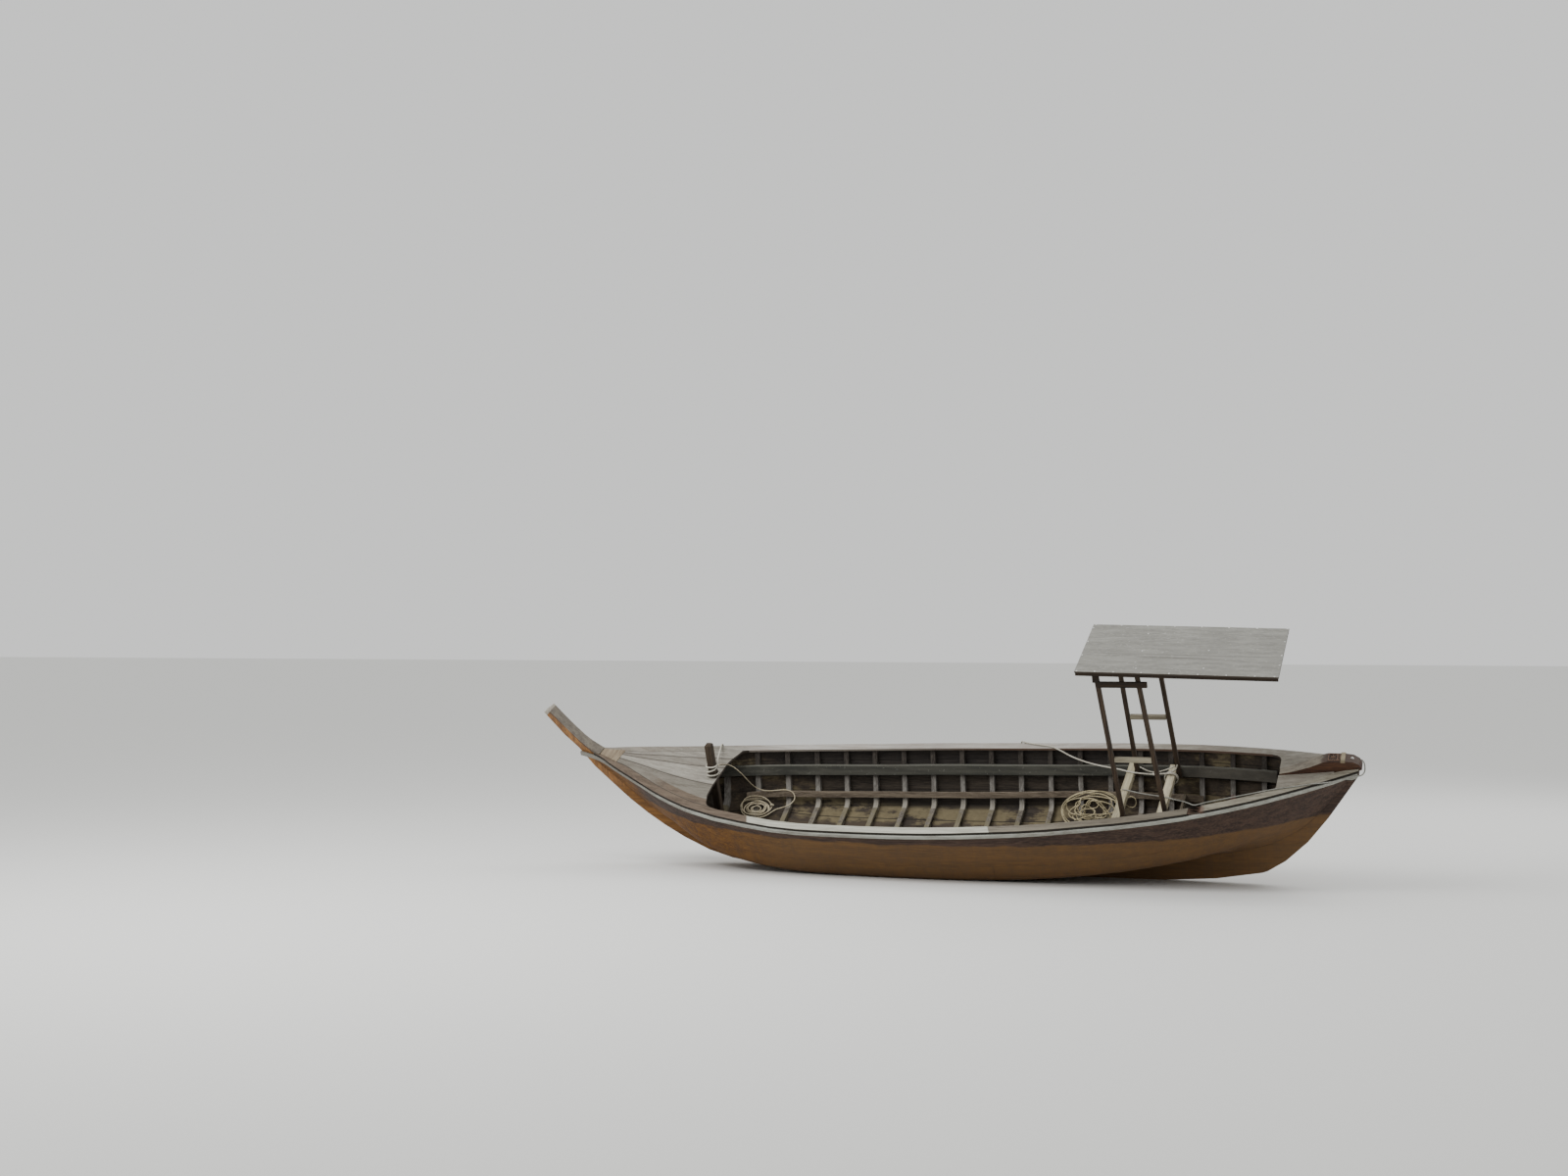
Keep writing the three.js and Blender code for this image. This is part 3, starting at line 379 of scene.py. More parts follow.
sternRope = {**slack, "diameter": 0.013, "pitch": 0.042, "step": 0.006, "slot": "grey_line",
             "stiffness": "medium"}
sternRoute = [
    (1926, 24, 5), (1990, 0, 5), (2090, -32, 0), (2200, -68, 2), (2310, -102, 7), (2390, -128, 8),
    (2460, -200, 30), (2560, -330, 84), (2650, -470, 138), (2706, -566, 175), (2734, -578, 184),
    (2798, -545, 188.5), (2878, -520, 197), (2994, -487, 209.5), (3172, -436, 228.5), (3300, -400, 242),
    (3404, -372, 253), (3520, -352, 267), (3660, -338, 284), (3780, -322, 301), (3850, -303, 301),
    (3884, -287, 296), (3930, -274, 297), (3972, -266, 299), (4057, -226, 301), (4103, -203, 303),
    (4182, -168, 309), (4230, -120, 302), (4250, -60, 306),
    (4252, -12, 330), (4244, 8, 366), (4220, 14, 396),
]
sternLine = layCord("stern_rope", places(sternRoute), sternRope, ["stern_line"])
print("ropes: laid, coiled and tied")


# materials
def put(tree, kind, inputs=None, **fields):
    # a shader node with its fields set, and its inputs linked or set
    made = tree.nodes.new("ShaderNode" + kind)
    for field, value in fields.items():
        setattr(made, field, value)
    for key, value in (inputs or {}).items():
        if isinstance(value, bpy.types.NodeSocket):
            tree.links.new(value, made.inputs[key])
        else:
            made.inputs[key].default_value = value
    return made


def calc(tree, operation, a, b=0.0, c=0.0, clamp=False):
    return put(tree, "Math", {0: a, 1: b, 2: c}, operation=operation, use_clamp=clamp).outputs[0]


def fade(tree, value, low, high):
    # smooth 0 to 1 while value goes from low to high
    ranged = put(tree, "MapRange", {0: value, 1: low, 2: high, 3: 0.0, 4: 1.0},
                 interpolation_type="SMOOTHSTEP")
    return ranged.outputs[0]


def cloud(tree, vector, scale, detail=4.0, rough=0.55, stretch=None):
    if stretch:
        vector = put(tree, "Mapping", {0: vector, 3: stretch}).outputs[0]
    return put(tree, "TexNoise", {"Vector": vector, "Scale": scale, "Detail": detail,
                                  "Roughness": rough}).outputs["Fac"]


def tint(tree, amount, a, b):
    a, b = (tone if isinstance(tone, bpy.types.NodeSocket) else (*tone, 1) for tone in (a, b))
    return put(tree, "Mix", {0: amount, 6: a, 7: b}, data_type="RGBA").outputs[2]


def group(name, **given):
    # a shared group, and its inputs
    tree = bpy.data.node_groups.new(name, "ShaderNodeTree")
    for label, kind in given.items():
        tree.interface.new_socket(label, in_out="INPUT", socket_type="NodeSocket" + kind)
    return tree, *tree.nodes.new("NodeGroupInput").outputs[:len(given)]


def giveOut(tree, **values):
    for label, value in values.items():
        kind = "NodeSocketVector" if value.type == "VECTOR" else "NodeSocketFloat"
        tree.interface.new_socket(label, in_out="OUTPUT", socket_type=kind)
    out = tree.nodes.new("NodeGroupOutput")
    for label, value in values.items():
        tree.links.new(value, out.inputs[label])
    return tree


def use(tree, shared, **inputs):
    return put(tree, "Group", inputs, node_tree=shared).outputs


# along the hull, in metres: height of the rail, depth of the upper stringer under it, half width
# of the fore deck
railHeights = [
    (-4.2, 0.47), (-3.9, 0.388), (-3.4, 0.258), (-2.8, 0.117), (-2.4, 0.052), (-1.9, 0.006), (-1.2, -0.022),
    (0, -0.004), (1, 0.034), (1.8, 0.088), (2.5, 0.145), (3.1, 0.208), (3.6, 0.27), (4.3, 0.36),
]
underRail = [(-2.83, 0.167), (-1.86, 0.169), (-0.74, 0.177), (1.34, 0.181), (3.17, 0.16), (3.4, 0.157)]
deckReach = [
    (-3.45, 0.12), (-3.28, 0.176), (-3.16, 0.24), (-3.06, 0.293), (-2.9, 0.377), (-2.797, 0.426),
    (-2.64, 0.495), (-2.479, 0.559), (-2.25, 0.625),
]


def drawn(tree, value, spots, lift=0.0):
    # the height of the line through the spots, where value runs along it
    low, high = spots[0][0] - 0.1, spots[-1][0] + 0.1
    share = put(tree, "MapRange", {0: value, 1: low, 2: high, 3: 0.0, 4: 1.0}).outputs[0]
    made = put(tree, "FloatCurve", {1: share})
    line = made.mapping.curves[0]
    while len(line.points) < len(spots):
        line.points.new(0.5, 0.5)
    for point, (x, y) in zip(line.points, spots):
        point.location = ((x - low) / (high - low), y + lift)
    made.mapping.update()
    return calc(tree, "SUBTRACT", made.outputs[0], lift)


# height of the line around which the ribs and planks curve
hullAxis = 0.35


def makeHullPlaces():
    # where a point is on the boat: its hull place, how far below the rail, and whether inside
    tree, = group("hull_places")
    where = put(tree, "TexCoord").outputs["Object"]
    turned = put(tree, "Mapping", {0: where, 1: lie["at"], 2: (lie["heel"], 0, 0)},
                 vector_type="TEXTURE").outputs[0]
    x, y, z = put(tree, "SeparateXYZ", {0: turned}).outputs
    below = calc(tree, "SUBTRACT", drawn(tree, x, railHeights, 0.2), z)
    normal = put(tree, "NewGeometry").outputs["Normal"]
    facing = put(tree, "Mapping", {0: normal, 2: (lie["heel"], 0, 0)}, vector_type="TEXTURE").outputs[0]
    outward = put(tree, "CombineXYZ", {1: y, 2: calc(tree, "SUBTRACT", z, hullAxis)}).outputs[0]
    dot = put(tree, "VectorMath", {0: facing, 1: outward}, operation="DOT_PRODUCT")
    inside = calc(tree, "LESS_THAN", dot.outputs["Value"], 0.0)
    return giveOut(tree, place=turned, x=x, y=y, z=z, below=below, inside=inside, facing=facing)


def makeWoodGrain():
    # streaks and fibres that run along the vector's x, with fine drying cracks
    tree, spot, length, seed = group("wood_grain", place="Vector", length="Float", seed="Float")
    moved = put(tree, "CombineXYZ", {0: seed, 1: seed, 2: seed}).outputs[0]
    moved = put(tree, "VectorMath", {0: spot, 1: moved}, operation="ADD").outputs[0]
    stretch = put(tree, "CombineXYZ", {0: length, 1: 9.0, 2: 9.0}).outputs[0]
    long = put(tree, "VectorMath", {0: moved, 1: stretch}, operation="MULTIPLY").outputs[0]
    streaks = cloud(tree, long, 2.2, 6, 0.6)
    fibres = cloud(tree, long, 13.0, 5, 0.65)
    split = cloud(tree, long, 5.0, 8, 0.7, stretch=(0.6, 1.5, 1.5))
    cracks = fade(tree, split, 0.345, 0.3)
    raised = calc(tree, "MULTIPLY_ADD", fibres, 0.6, calc(tree, "MULTIPLY", streaks, 0.5))
    height = calc(tree, "SUBTRACT", raised, calc(tree, "MULTIPLY", cracks, 0.9))
    return giveOut(tree, streaks=streaks, fibres=fibres, cracks=cracks, height=height)


def makeWeather():
    # broad blotches, small lichen specks and thin runs down the face
    tree, spot = group("weather", place="Vector")
    return giveOut(tree, blotches=fade(tree, cloud(tree, spot, 2.3, 5, 0.6), 0.38, 0.66),
                   specks=fade(tree, cloud(tree, spot, 34.0, 3, 0.5), 0.62, 0.72),
                   runs=fade(tree, cloud(tree, spot, 16.0, 4, 0.6, stretch=(1.0, 1.0, 0.1)), 0.42, 0.68))


hullPlaces = makeHullPlaces()
woodGrain = makeWoodGrain()
weather = makeWeather()


class Finish:
    # a material under construction, with the boat's places and a grain at hand
    def __init__(self, name, way="along", length=0.55, seed=0.0):
        self.made = bpy.data.materials.new(name)
        self.made.use_nodes = True
        self.tree = self.made.node_tree
        self.shader = self.tree.nodes["Principled BSDF"]
        self.take(hullPlaces)
        order = {"along": (self.x, self.y, self.z), "across": (self.y, self.x, self.z),
                 "up": (self.z, self.x, self.y)}
        if way == "around":
            bend = self.calc("ARCTAN2", self.y, self.calc("SUBTRACT", hullAxis, self.z))
            reach = put(self.tree, "CombineXYZ", {0: self.y, 1: self.z}).outputs[0]
            reach = put(self.tree, "VectorMath", {0: reach}, operation="LENGTH").outputs["Value"]
            order["around"] = (bend, self.x, reach)
        laid = put(self.tree, "CombineXYZ", dict(enumerate(order[way]))).outputs[0]
        self.take(woodGrain, place=laid, length=length, seed=seed)
        self.take(weather, place=self.place)

    def take(self, shared, **inputs):
        # a group's outputs, each under its own name
        for socket in use(self.tree, shared, **inputs):
            setattr(self, socket.name, socket)

    def calc(self, operation, *values, **fields):
        return calc(self.tree, operation, *values, **fields)

    def times(self, a, b):
        return self.calc("MULTIPLY", a, b)

    def scaled(self, value, by, start):
        # value times by, plus start
        return self.calc("MULTIPLY_ADD", value, by, start)

    def fade(self, value, low, high):
        return fade(self.tree, value, low, high)

    def cloud(self, scale, *rest, **more):
        return cloud(self.tree, self.place, scale, *rest, **more)

    def band(self, value, low, high, soft=0.004):
        # 1 between low and high, soft at both edges
        opens, closes = self.fade(value, low - soft, low + soft), self.fade(value, high + soft, high - soft)
        return self.times(opens, closes)

    def mix(self, a, b, amount, share=None):
        # from a to b by the amount, or by a share of it
        return tint(self.tree, amount if share is None else self.times(amount, share), a, b)

    def split(self, vector):
        return put(self.tree, "SeparateXYZ", {0: vector}).outputs

    def lay(self, coat, amount, share=None):
        # a coat over the colour so far
        self.colour = self.mix(self.colour, coat, amount, share)

    def edges(self, dark):
        # painted shade on the narrow faces of a board that lies flat, darker the further a face turns from
        # up
        self.lay(dark, self.fade(self.split(self.facing)[2], 0.75, 0.45))

    def wood(self, pale, mid, dark):
        # three tones by the grain: pale fibres, the middle tone, dark streaks
        base = self.mix(dark, mid, self.fade(self.streaks, 0.36, 0.66))
        toned = self.mix(base, pale, self.fade(self.fibres, 0.42, 0.7), 0.75)
        return self.mix(toned, tuple(v * 0.28 for v in dark), self.cracks, 0.75)

    def finish(self, rough=0.85, bump=0.35, depth=0.004, height=None):
        links = self.tree.links
        links.new(self.colour, self.shader.inputs["Base Color"])
        vary = self.calc("MULTIPLY_ADD", self.fibres, 0.16, rough - 0.08, clamp=True)
        links.new(vary, self.shader.inputs["Roughness"])
        raised = put(self.tree, "Bump", {"Strength": bump, "Distance": depth,
                                         "Height": height or self.height}).outputs[0]
        links.new(raised, self.shader.inputs["Normal"])
        self.shader.inputs["Specular IOR Level"].default_value = 0.3
        return self.made


def makeSternDeck():
    f = Finish("stern_deck", length=0.5, seed=7.0)
    f.colour = f.wood((0.34, 0.32, 0.275), (0.25, 0.232, 0.19), (0.155, 0.138, 0.11))
    f.lay((0.2, 0.165, 0.13), f.blotches, 0.3)
    # painted shade on the edge faces
    f.edges((0.075, 0.058, 0.046))
    return f.finish()


def makeDeck(name, seed, left, right, pale, mid, dark, worn=0.0):
    # one of the fanned fore deck boards, with painted shade fading out from the seams at its two edges and
    # a dark joint line at each
    f = Finish(name, length=0.45, seed=seed)
    f.colour = f.wood(pale, mid, dark)
    f.lay((0.19, 0.165, 0.14), f.blotches, 0.35)
    reach = drawn(f.tree, f.x, deckReach)
    if worn:
        # a brown length along the outer edge, like the rail beside it
        brown = f.wood((0.17, 0.13, 0.096), (0.122, 0.092, 0.066), (0.07, 0.05, 0.035))
        beside = f.fade(f.calc("ADD", f.y, reach), worn + 0.006, worn - 0.006)
        f.lay(brown, f.times(beside, f.fade(f.x, -3.1, -2.75)))
    gap = f.calc("MINIMUM", f.calc("SUBTRACT", f.y, f.times(reach, left)),
                 f.calc("SUBTRACT", f.times(reach, right), f.y))
    # painted shade fading out from each seam, then the dark joint line in it
    f.lay((0.13, 0.11, 0.09), f.fade(gap, 0.03, 0.002), 0.35)
    f.lay((0.035, 0.03, 0.026), f.fade(gap, 0.01, 0.003), 0.85)
    # painted shade on the edge faces
    f.edges((0.055, 0.042, 0.034))
    return f.finish()


def makeNearCap():
    # brown at the fore end, a very pale length amidships up to a scarf, grey-brown aft of that
    f = Finish("near_rail", length=0.5, seed=2.0)
    brown = f.wood((0.175, 0.135, 0.1), (0.125, 0.094, 0.067), (0.072, 0.051, 0.036))
    bright = f.wood((0.56, 0.55, 0.48), (0.46, 0.455, 0.385), (0.3, 0.29, 0.235))
    after = f.wood((0.25, 0.225, 0.18), (0.185, 0.163, 0.125), (0.1, 0.084, 0.064))
    slant = f.scaled(f.y, 0.35, f.x)
    wander = f.scaled(f.cloud(7.0, 4), 0.05, slant)
    f.colour = f.mix(brown, bright, f.fade(wander, -2.03, -2.005))
    f.lay(after, f.fade(slant, 0.456, 0.462))
    f.lay((0.03, 0.026, 0.022), f.band(slant, 0.453, 0.459, 0.002), 0.8)
    f.lay((0.115, 0.098, 0.072), f.fade(f.x, 1.0, 2.1), 0.45)
    # painted shade on the edge faces, which makes the dark line above the rub strip
    f.edges((0.022, 0.018, 0.014))
    return f.finish()


def makeNearCapAft():
    # grey-brown, raw and reddish at the break
    f = Finish("near_rail_aft", length=0.5, seed=3.0)
    f.colour = f.wood((0.36, 0.34, 0.28), (0.265, 0.245, 0.19), (0.155, 0.135, 0.1))
    # painted shade on the edge faces
    f.edges((0.022, 0.018, 0.014))
    raw = f.scaled(f.streaks, 0.1, f.x)
    f.lay((0.125, 0.07, 0.05), f.fade(raw, 2.875, 2.835), 0.75)
    return f.finish()


def makeFarCap():
    f = Finish("far_rail", length=0.5, seed=1.0)
    fore = f.wood((0.28, 0.268, 0.232), (0.218, 0.206, 0.174), (0.135, 0.122, 0.1))
    silver = f.wood((0.45, 0.43, 0.4), (0.375, 0.36, 0.33), (0.26, 0.235, 0.205))
    after = f.wood((0.36, 0.345, 0.3), (0.28, 0.262, 0.222), (0.175, 0.155, 0.125))
    f.colour = f.mix(fore, silver, f.fade(f.x, -2.6, -1.8))
    f.lay(after, f.fade(f.x, 1.3, 2.4))
    f.lay((0.24, 0.18, 0.14), f.blotches, 0.25)
    # painted shade on the edge faces, in a tone that grows darker and browner aft
    low = f.mix((0.2, 0.175, 0.15), (0.125, 0.08, 0.058), f.fade(f.x, -0.6, 0.6))
    f.edges(low)
    return f.finish()


def makeRubStrip():
    f = Finish("rub_strip", length=0.5)
    f.colour = f.wood((0.44, 0.45, 0.4), (0.335, 0.345, 0.305), (0.19, 0.18, 0.155))
    f.lay((0.115, 0.1, 0.085), f.fade(f.x, -2.5, -3.3), 0.7)
    return f.finish()


def makeHullSkin():
    # planks: red lead below, dark topside above, bare dark wood with mud inside
    f = Finish("hull_planks", length=0.4)
    orange = f.wood((0.235, 0.105, 0.022), (0.142, 0.061, 0.011), (0.066, 0.028, 0.008))
    orange = f.mix(orange, (0.06, 0.032, 0.018), f.runs, 0.5)
    faded = f.mix((0.085, 0.06, 0.034), (0.15, 0.085, 0.038), f.cloud(5.0, 5, 0.6))
    orange = f.mix(orange, faded, f.fade(f.x, -2.4, -1.2), 0.6)
    topside = f.wood((0.105, 0.066, 0.047), (0.056, 0.033, 0.024), (0.024, 0.015, 0.012))
    edge = f.scaled(f.cloud(3.0, 4), 0.1, f.calc("SUBTRACT", f.z, 0.05))
    low = f.fade(edge, -0.155, -0.185)
    fore = f.fade(f.x, -3.05, -3.35)
    outside = f.mix(topside, orange, f.calc("MAXIMUM", low, fore))
    bay = f.wood((0.046, 0.038, 0.032), (0.028, 0.023, 0.019), (0.014, 0.011, 0.01))
    lower = f.wood((0.076, 0.06, 0.045), (0.043, 0.033, 0.025), (0.02, 0.016, 0.012))
    inner = f.mix(bay, lower, f.fade(f.below, 0.2, 0.4))
    plank = 0.152
    seams = f.calc("FRACT", f.calc("DIVIDE", f.below, plank))
    seam = f.calc("MAXIMUM", f.fade(seams, 0.04, 0.015), f.fade(seams, 0.965, 0.99))
    # mud that dried on the low planks beside the keelson, in patches, thickest amidships
    side = f.calc("ABSOLUTE", f.y)
    ragged = f.scaled(f.cloud(3.6, 6, 0.6, stretch=(1.0, 1.0, 0.5)), 0.36, side)
    bed = f.times(f.fade(side, 0.735, 0.69), f.fade(ragged, 0.585, 0.645))
    patch = f.cloud(4.2, 7, 0.68, stretch=(0.55, 1.0, 1.6))
    mid = f.times(f.fade(f.x, -2.2, -1.2), f.fade(f.x, 1.7, 0.2))
    settled = f.times(f.fade(f.scaled(mid, 0.12, patch), 0.5, 0.62), bed)
    film = f.times(f.fade(side, 0.75, 0.7), f.fade(patch, 0.36, 0.56))
    inner = f.mix(inner, (0.085, 0.062, 0.04), film, 0.55)
    ochre = f.mix((0.08, 0.064, 0.036), (0.25, 0.205, 0.115), f.cloud(15.0, 6, 0.72))
    inner = f.mix(inner, ochre, settled, 0.9)
    inner = f.mix(inner, (0.014, 0.011, 0.009), seam, 0.75)
    # painted shadow in a band just under the lower stringer
    under = f.times(f.fade(side, 0.675, 0.715), f.fade(f.z, -0.44, -0.53))
    inner = f.mix(inner, (0.014, 0.011, 0.009), under, 0.6)
    lap = f.calc("MAXIMUM", f.band(side, 0.497, 0.511, 0.002), f.band(side, 0.315, 0.325, 0.002))
    lap = f.times(lap, f.fade(f.z, -0.6, -0.64))
    inner = f.mix(inner, (0.012, 0.009, 0.008), lap, 0.85)
    f.colour = f.mix(outside, inner, f.inside)
    height = f.calc("SUBTRACT", f.height, f.times(seam, 1.5))
    return f.finish(0.8, 0.5, 0.005, height)


def makeRibs():
    # grey ribs, dark high up and much lighter low down, and the grey-green stringer that is let into them
    f = Finish("side_timbers", way="around", length=0.9)
    high = f.wood((0.085, 0.072, 0.06), (0.046, 0.039, 0.033), (0.022, 0.018, 0.015))
    paleLow = f.wood((0.33, 0.315, 0.29), (0.225, 0.21, 0.19), (0.105, 0.094, 0.082))
    ribs = f.mix(high, paleLow, f.fade(f.below, 0.2, 0.42))
    ochre = f.mix((0.37, 0.335, 0.26), (0.25, 0.225, 0.175), f.cloud(14.0, 5))
    ribs = f.mix(ribs, ochre, f.fade(f.z, -0.5, -0.62), 0.55)
    # painted shade standing in for the limber holes at the rib feet
    foot = f.times(f.fade(f.z, -0.655, -0.672), f.fade(f.y, 0.535, 0.515))
    ribs = f.mix(ribs, (0.012, 0.01, 0.009), foot)
    red = f.times(f.band(f.x, 2.86, 3.02), f.band(f.below, 0.42, 0.66, 0.02))
    ribs = f.mix(ribs, (0.13, 0.042, 0.028), red, 0.8)
    grain = use(f.tree, woodGrain, place=f.place, length=0.4, seed=3.0)
    board = f.mix((0.036, 0.036, 0.03), (0.066, 0.064, 0.052), f.fade(grain["streaks"], 0.36, 0.66))
    board = f.mix(board, (0.15, 0.15, 0.13), f.specks, 0.5)
    board = f.mix(board, (0.018, 0.018, 0.015), grain["cracks"], 0.8)
    board = f.mix(board, (0.125, 0.108, 0.088), f.fade(f.x, 2.2, 2.7), 0.4)
    lower = f.calc("SUBTRACT", f.below, drawn(f.tree, f.x, underRail))
    zone = f.band(lower, -0.004, 0.099, 0.001)
    board = f.mix(board, (0.15, 0.148, 0.125), f.fade(lower, 0.004, 0.001), 0.6)
    f.colour = f.mix(ribs, board, zone)
    return f.finish(0.85, 0.5, 0.004)


def makeFloorTimbers():
    f = Finish("floor_timbers", way="around", length=0.9, seed=5.0)
    wood = f.wood((0.26, 0.235, 0.2), (0.165, 0.145, 0.118), (0.075, 0.064, 0.052))
    mud = f.mix((0.24, 0.21, 0.13), (0.11, 0.095, 0.058), f.cloud(12.0, 6, 0.65))
    f.colour = f.mix(wood, mud, f.fade(f.cloud(7.0, 5), 0.42, 0.6), 0.8)
    # painted shade standing in for the limber holes at the rib feet
    foot = f.times(f.fade(f.z, -0.655, -0.672), f.band(f.y, 0.42, 0.535))
    f.lay((0.012, 0.01, 0.009), foot)
    return f.finish(0.9, 0.5)


def makeStem():
    # varnish left on the sides, bare grey wood on the after face and the end grain
    f = Finish("stem_wood", way="up", length=0.6)
    varnish = f.wood((0.4, 0.205, 0.062), (0.26, 0.118, 0.036), (0.11, 0.05, 0.02))
    varnish = f.mix(varnish, (0.07, 0.036, 0.02), f.runs, 0.4)
    # how far aft of the sloping fore edge, wavering with the grain
    edge = {"slope": -1.042, "start": -3.463, "length": 1.444}
    deep = f.calc("SUBTRACT", f.scaled(f.x, edge["slope"], edge["start"]), f.z)
    deep = f.calc("DIVIDE", deep, edge["length"])
    high = f.fade(f.z, 0.22, 0.3)
    deep = f.scaled(f.streaks, 0.01, f.calc("SUBTRACT", deep, 0.005))
    deep = f.scaled(f.fade(f.z, 0.38, 0.72), 0.026, deep)
    rim = f.times(f.fade(deep, 0.058, 0.046), high)
    varnish = f.mix(varnish, (0.045, 0.023, 0.016), rim, 0.85)
    bare = f.wood((0.2, 0.178, 0.148), (0.142, 0.122, 0.092), (0.078, 0.064, 0.05))
    ends = f.wood((0.42, 0.39, 0.33), (0.33, 0.3, 0.25), (0.19, 0.17, 0.135))
    nx, _, nz = f.split(f.facing)
    after = f.times(f.fade(f.calc("ADD", nx, nz), 0.85, 1.1), f.fade(f.z, 0.16, 0.22))
    turned = f.times(f.fade(deep, 0.04, 0.034), high)
    f.colour = f.mix(varnish, bare, f.calc("MAXIMUM", after, turned))
    # red lead on the foot, brushed along the boat
    brushed = f.fade(f.cloud(26.0, 6, 0.7, stretch=(0.14, 1.0, 1.0)), 0.3, 0.7)
    lead = f.mix((0.078, 0.033, 0.008), (0.215, 0.096, 0.02), brushed)
    f.lay(lead, f.fade(f.z, 0.02, -0.14), 0.96)
    # pale end grain and its worn arris
    along = f.scaled(f.x, -0.73, f.times(f.z, 0.68))
    end = f.calc("MAXIMUM", f.fade(f.calc("SUBTRACT", nz, nx), 1.1, 1.3), f.fade(along, 3.562, 3.567))
    f.lay(ends, end)
    return f.finish(0.62, 0.4)


def makeSternHead():
    # weathered top forward, pinkish varnish aft, dark sides, the paint left on the raised band
    f = Finish("stern_head_wood", seed=8.0)
    bare = f.wood((0.31, 0.28, 0.225), (0.225, 0.195, 0.148), (0.125, 0.102, 0.075))
    worn = f.wood((0.115, 0.072, 0.05), (0.064, 0.037, 0.025), (0.03, 0.017, 0.012))
    sides = f.wood((0.115, 0.05, 0.023), (0.06, 0.026, 0.013), (0.024, 0.011, 0.008))
    top = f.mix(bare, worn, f.fade(f.scaled(f.streaks, 0.1, f.x), 3.885, 3.945))
    f.colour = f.mix(sides, top, f.fade(f.split(f.facing)[2], 0.55, 0.75))
    painted = f.times(f.band(f.x, 4.034, 4.0755, 0.001), f.fade(f.z, 0.405, 0.412))
    cream = f.mix((0.19, 0.155, 0.1), (0.36, 0.3, 0.195), f.fade(f.streaks, 0.4, 0.62))
    f.lay(cream, painted)
    return f.finish(0.7, 0.4)


def makeRoof(name, seed):
    # grey ply with a seam, painted shade on its thin edges, an old leak and fine speckle
    f = Finish(name, length=1.4, seed=seed)
    f.colour = f.wood((0.335, 0.33, 0.3), (0.275, 0.27, 0.245), (0.19, 0.185, 0.165))
    f.lay((0.21, 0.205, 0.185), f.blotches, 0.35)
    f.lay((0.42, 0.42, 0.39), f.specks, 0.5)
    near = f.scaled(f.streaks, 0.05, f.y)
    streak = f.times(f.band(f.x, 2.25, 2.95, 0.12), f.band(near, -0.175, -0.15, 0.008))
    f.lay((0.1, 0.095, 0.082), streak, 0.6)
    f.lay((0.06, 0.057, 0.05), f.band(f.y, -0.1225, -0.1175, 0.0015), 0.75)
    f.edges((0.045, 0.034, 0.026))
    return f.finish(0.85, 0.2)


def makeRope(name, pale, mid, dark, underShade=0.5):
    # random soiled patches, with painted shade on the side of each strand turned away from the light above
    f = Finish(name)
    soil = f.fade(f.cloud(6.0, 4), 0.38, 0.66)
    yarn = f.cloud(260.0, 2, 0.5)
    f.colour = f.mix(pale, mid, soil)
    f.lay(dark, f.fade(yarn, 0.6, 0.36))
    # painted shade: each strand is darkened on the side that faces down and outboard, away from the light
    above = put(f.tree, "VectorMath", {0: f.facing, 1: (0.0, -0.55, 0.83)}, operation="DOT_PRODUCT")
    under = f.times(f.fade(above.outputs["Value"], 0.62, -0.1), underShade)
    f.lay(tuple(v * 0.22 for v in dark), under)
    return f.finish(0.9, 0.5, 0.001, yarn)


whiteRope = makeRope("white_rope", (0.66, 0.63, 0.55), (0.48, 0.45, 0.38), (0.25, 0.23, 0.18))
tanRope = makeRope("tan_rope", (0.8, 0.71, 0.52), (0.6, 0.52, 0.36), (0.24, 0.195, 0.125), 0.9)
heapRope = makeRope("heap_rope", (0.74, 0.645, 0.42), (0.52, 0.445, 0.27), (0.19, 0.155, 0.09), 0.93)
greyRope = makeRope("grey_rope", (0.38, 0.375, 0.34), (0.27, 0.265, 0.235), (0.14, 0.137, 0.12))
whitePieces = (mooringLine, mooringKnot, beamLine, beamKnot, beamHitch, postLine)
for made, pieces in ((whiteRope, whitePieces), (tanRope, (bowLine, bowEnd)),
                     (heapRope, (heapLine, heapEnd)), (greyRope, (sternLine,))):
    for piece in pieces:
        piece.data.materials.append(made)

dressed = set()


def dress(made, *names):
    for name in names:
        nodes[name].data.materials.clear()
        nodes[name].data.materials.append(made)
        dressed.add(name)
    return made


def both(name):
    return name + "_port", name + "_starboard"


dress(makeHullSkin(), *(n for n in nodes if "strake" in n), "keel", "sternpost")
dress(makeRibs(), *both("side_timbers_and_stringer"))
dress(makeFloorTimbers(), *(n for n in nodes if n.startswith("floor_timbers")))
dress(makeStem(), "stem")
dress(makeFarCap(), "rail_cap_starboard")
dress(makeNearCap(), "rail_cap_port_forward")
dress(makeNearCapAft(), "rail_cap_port_aft")
dress(makeRubStrip(), *both("rub_strip"))
sternWood = dress(makeSternDeck(), *both("stern_board"))
dress(makeSternHead(), "stern_head")
dress(makeRoof("roof_ply_port", 0.0), "roof_board_port")
dress(makeRoof("roof_ply_starboard", 7.0), "roof_board_starboard")

# fore deck boards: wood, seed, edges as shares of the deck's reach, pale, middle and dark tone, and
# the width of a brown edge
deck = {
    "foredeck_board_port": ("deck_near", 4.0, -1.0, -0.3, (0.225, 0.212, 0.18), (0.172, 0.16, 0.13),
                            (0.105, 0.092, 0.072), 0.125),
    "foredeck_board_middle": ("deck_pale", 5.0, -0.3, 0.32, (0.38, 0.362, 0.315), (0.3, 0.284, 0.242),
                              (0.2, 0.184, 0.154)),
    "foredeck_board_inner_starboard": ("deck_inner", 4.0, 0.32, 0.68, (0.275, 0.26, 0.222),
                                       (0.215, 0.2, 0.168), (0.135, 0.12, 0.098)),
    "foredeck_board_outer_starboard": ("deck_far", 6.0, 0.68, 1.0, (0.335, 0.318, 0.278),
                                       (0.268, 0.252, 0.215), (0.17, 0.155, 0.13)),
}
deckWood = [dress(makeDeck(*look), name) for name, look in deck.items()][0]

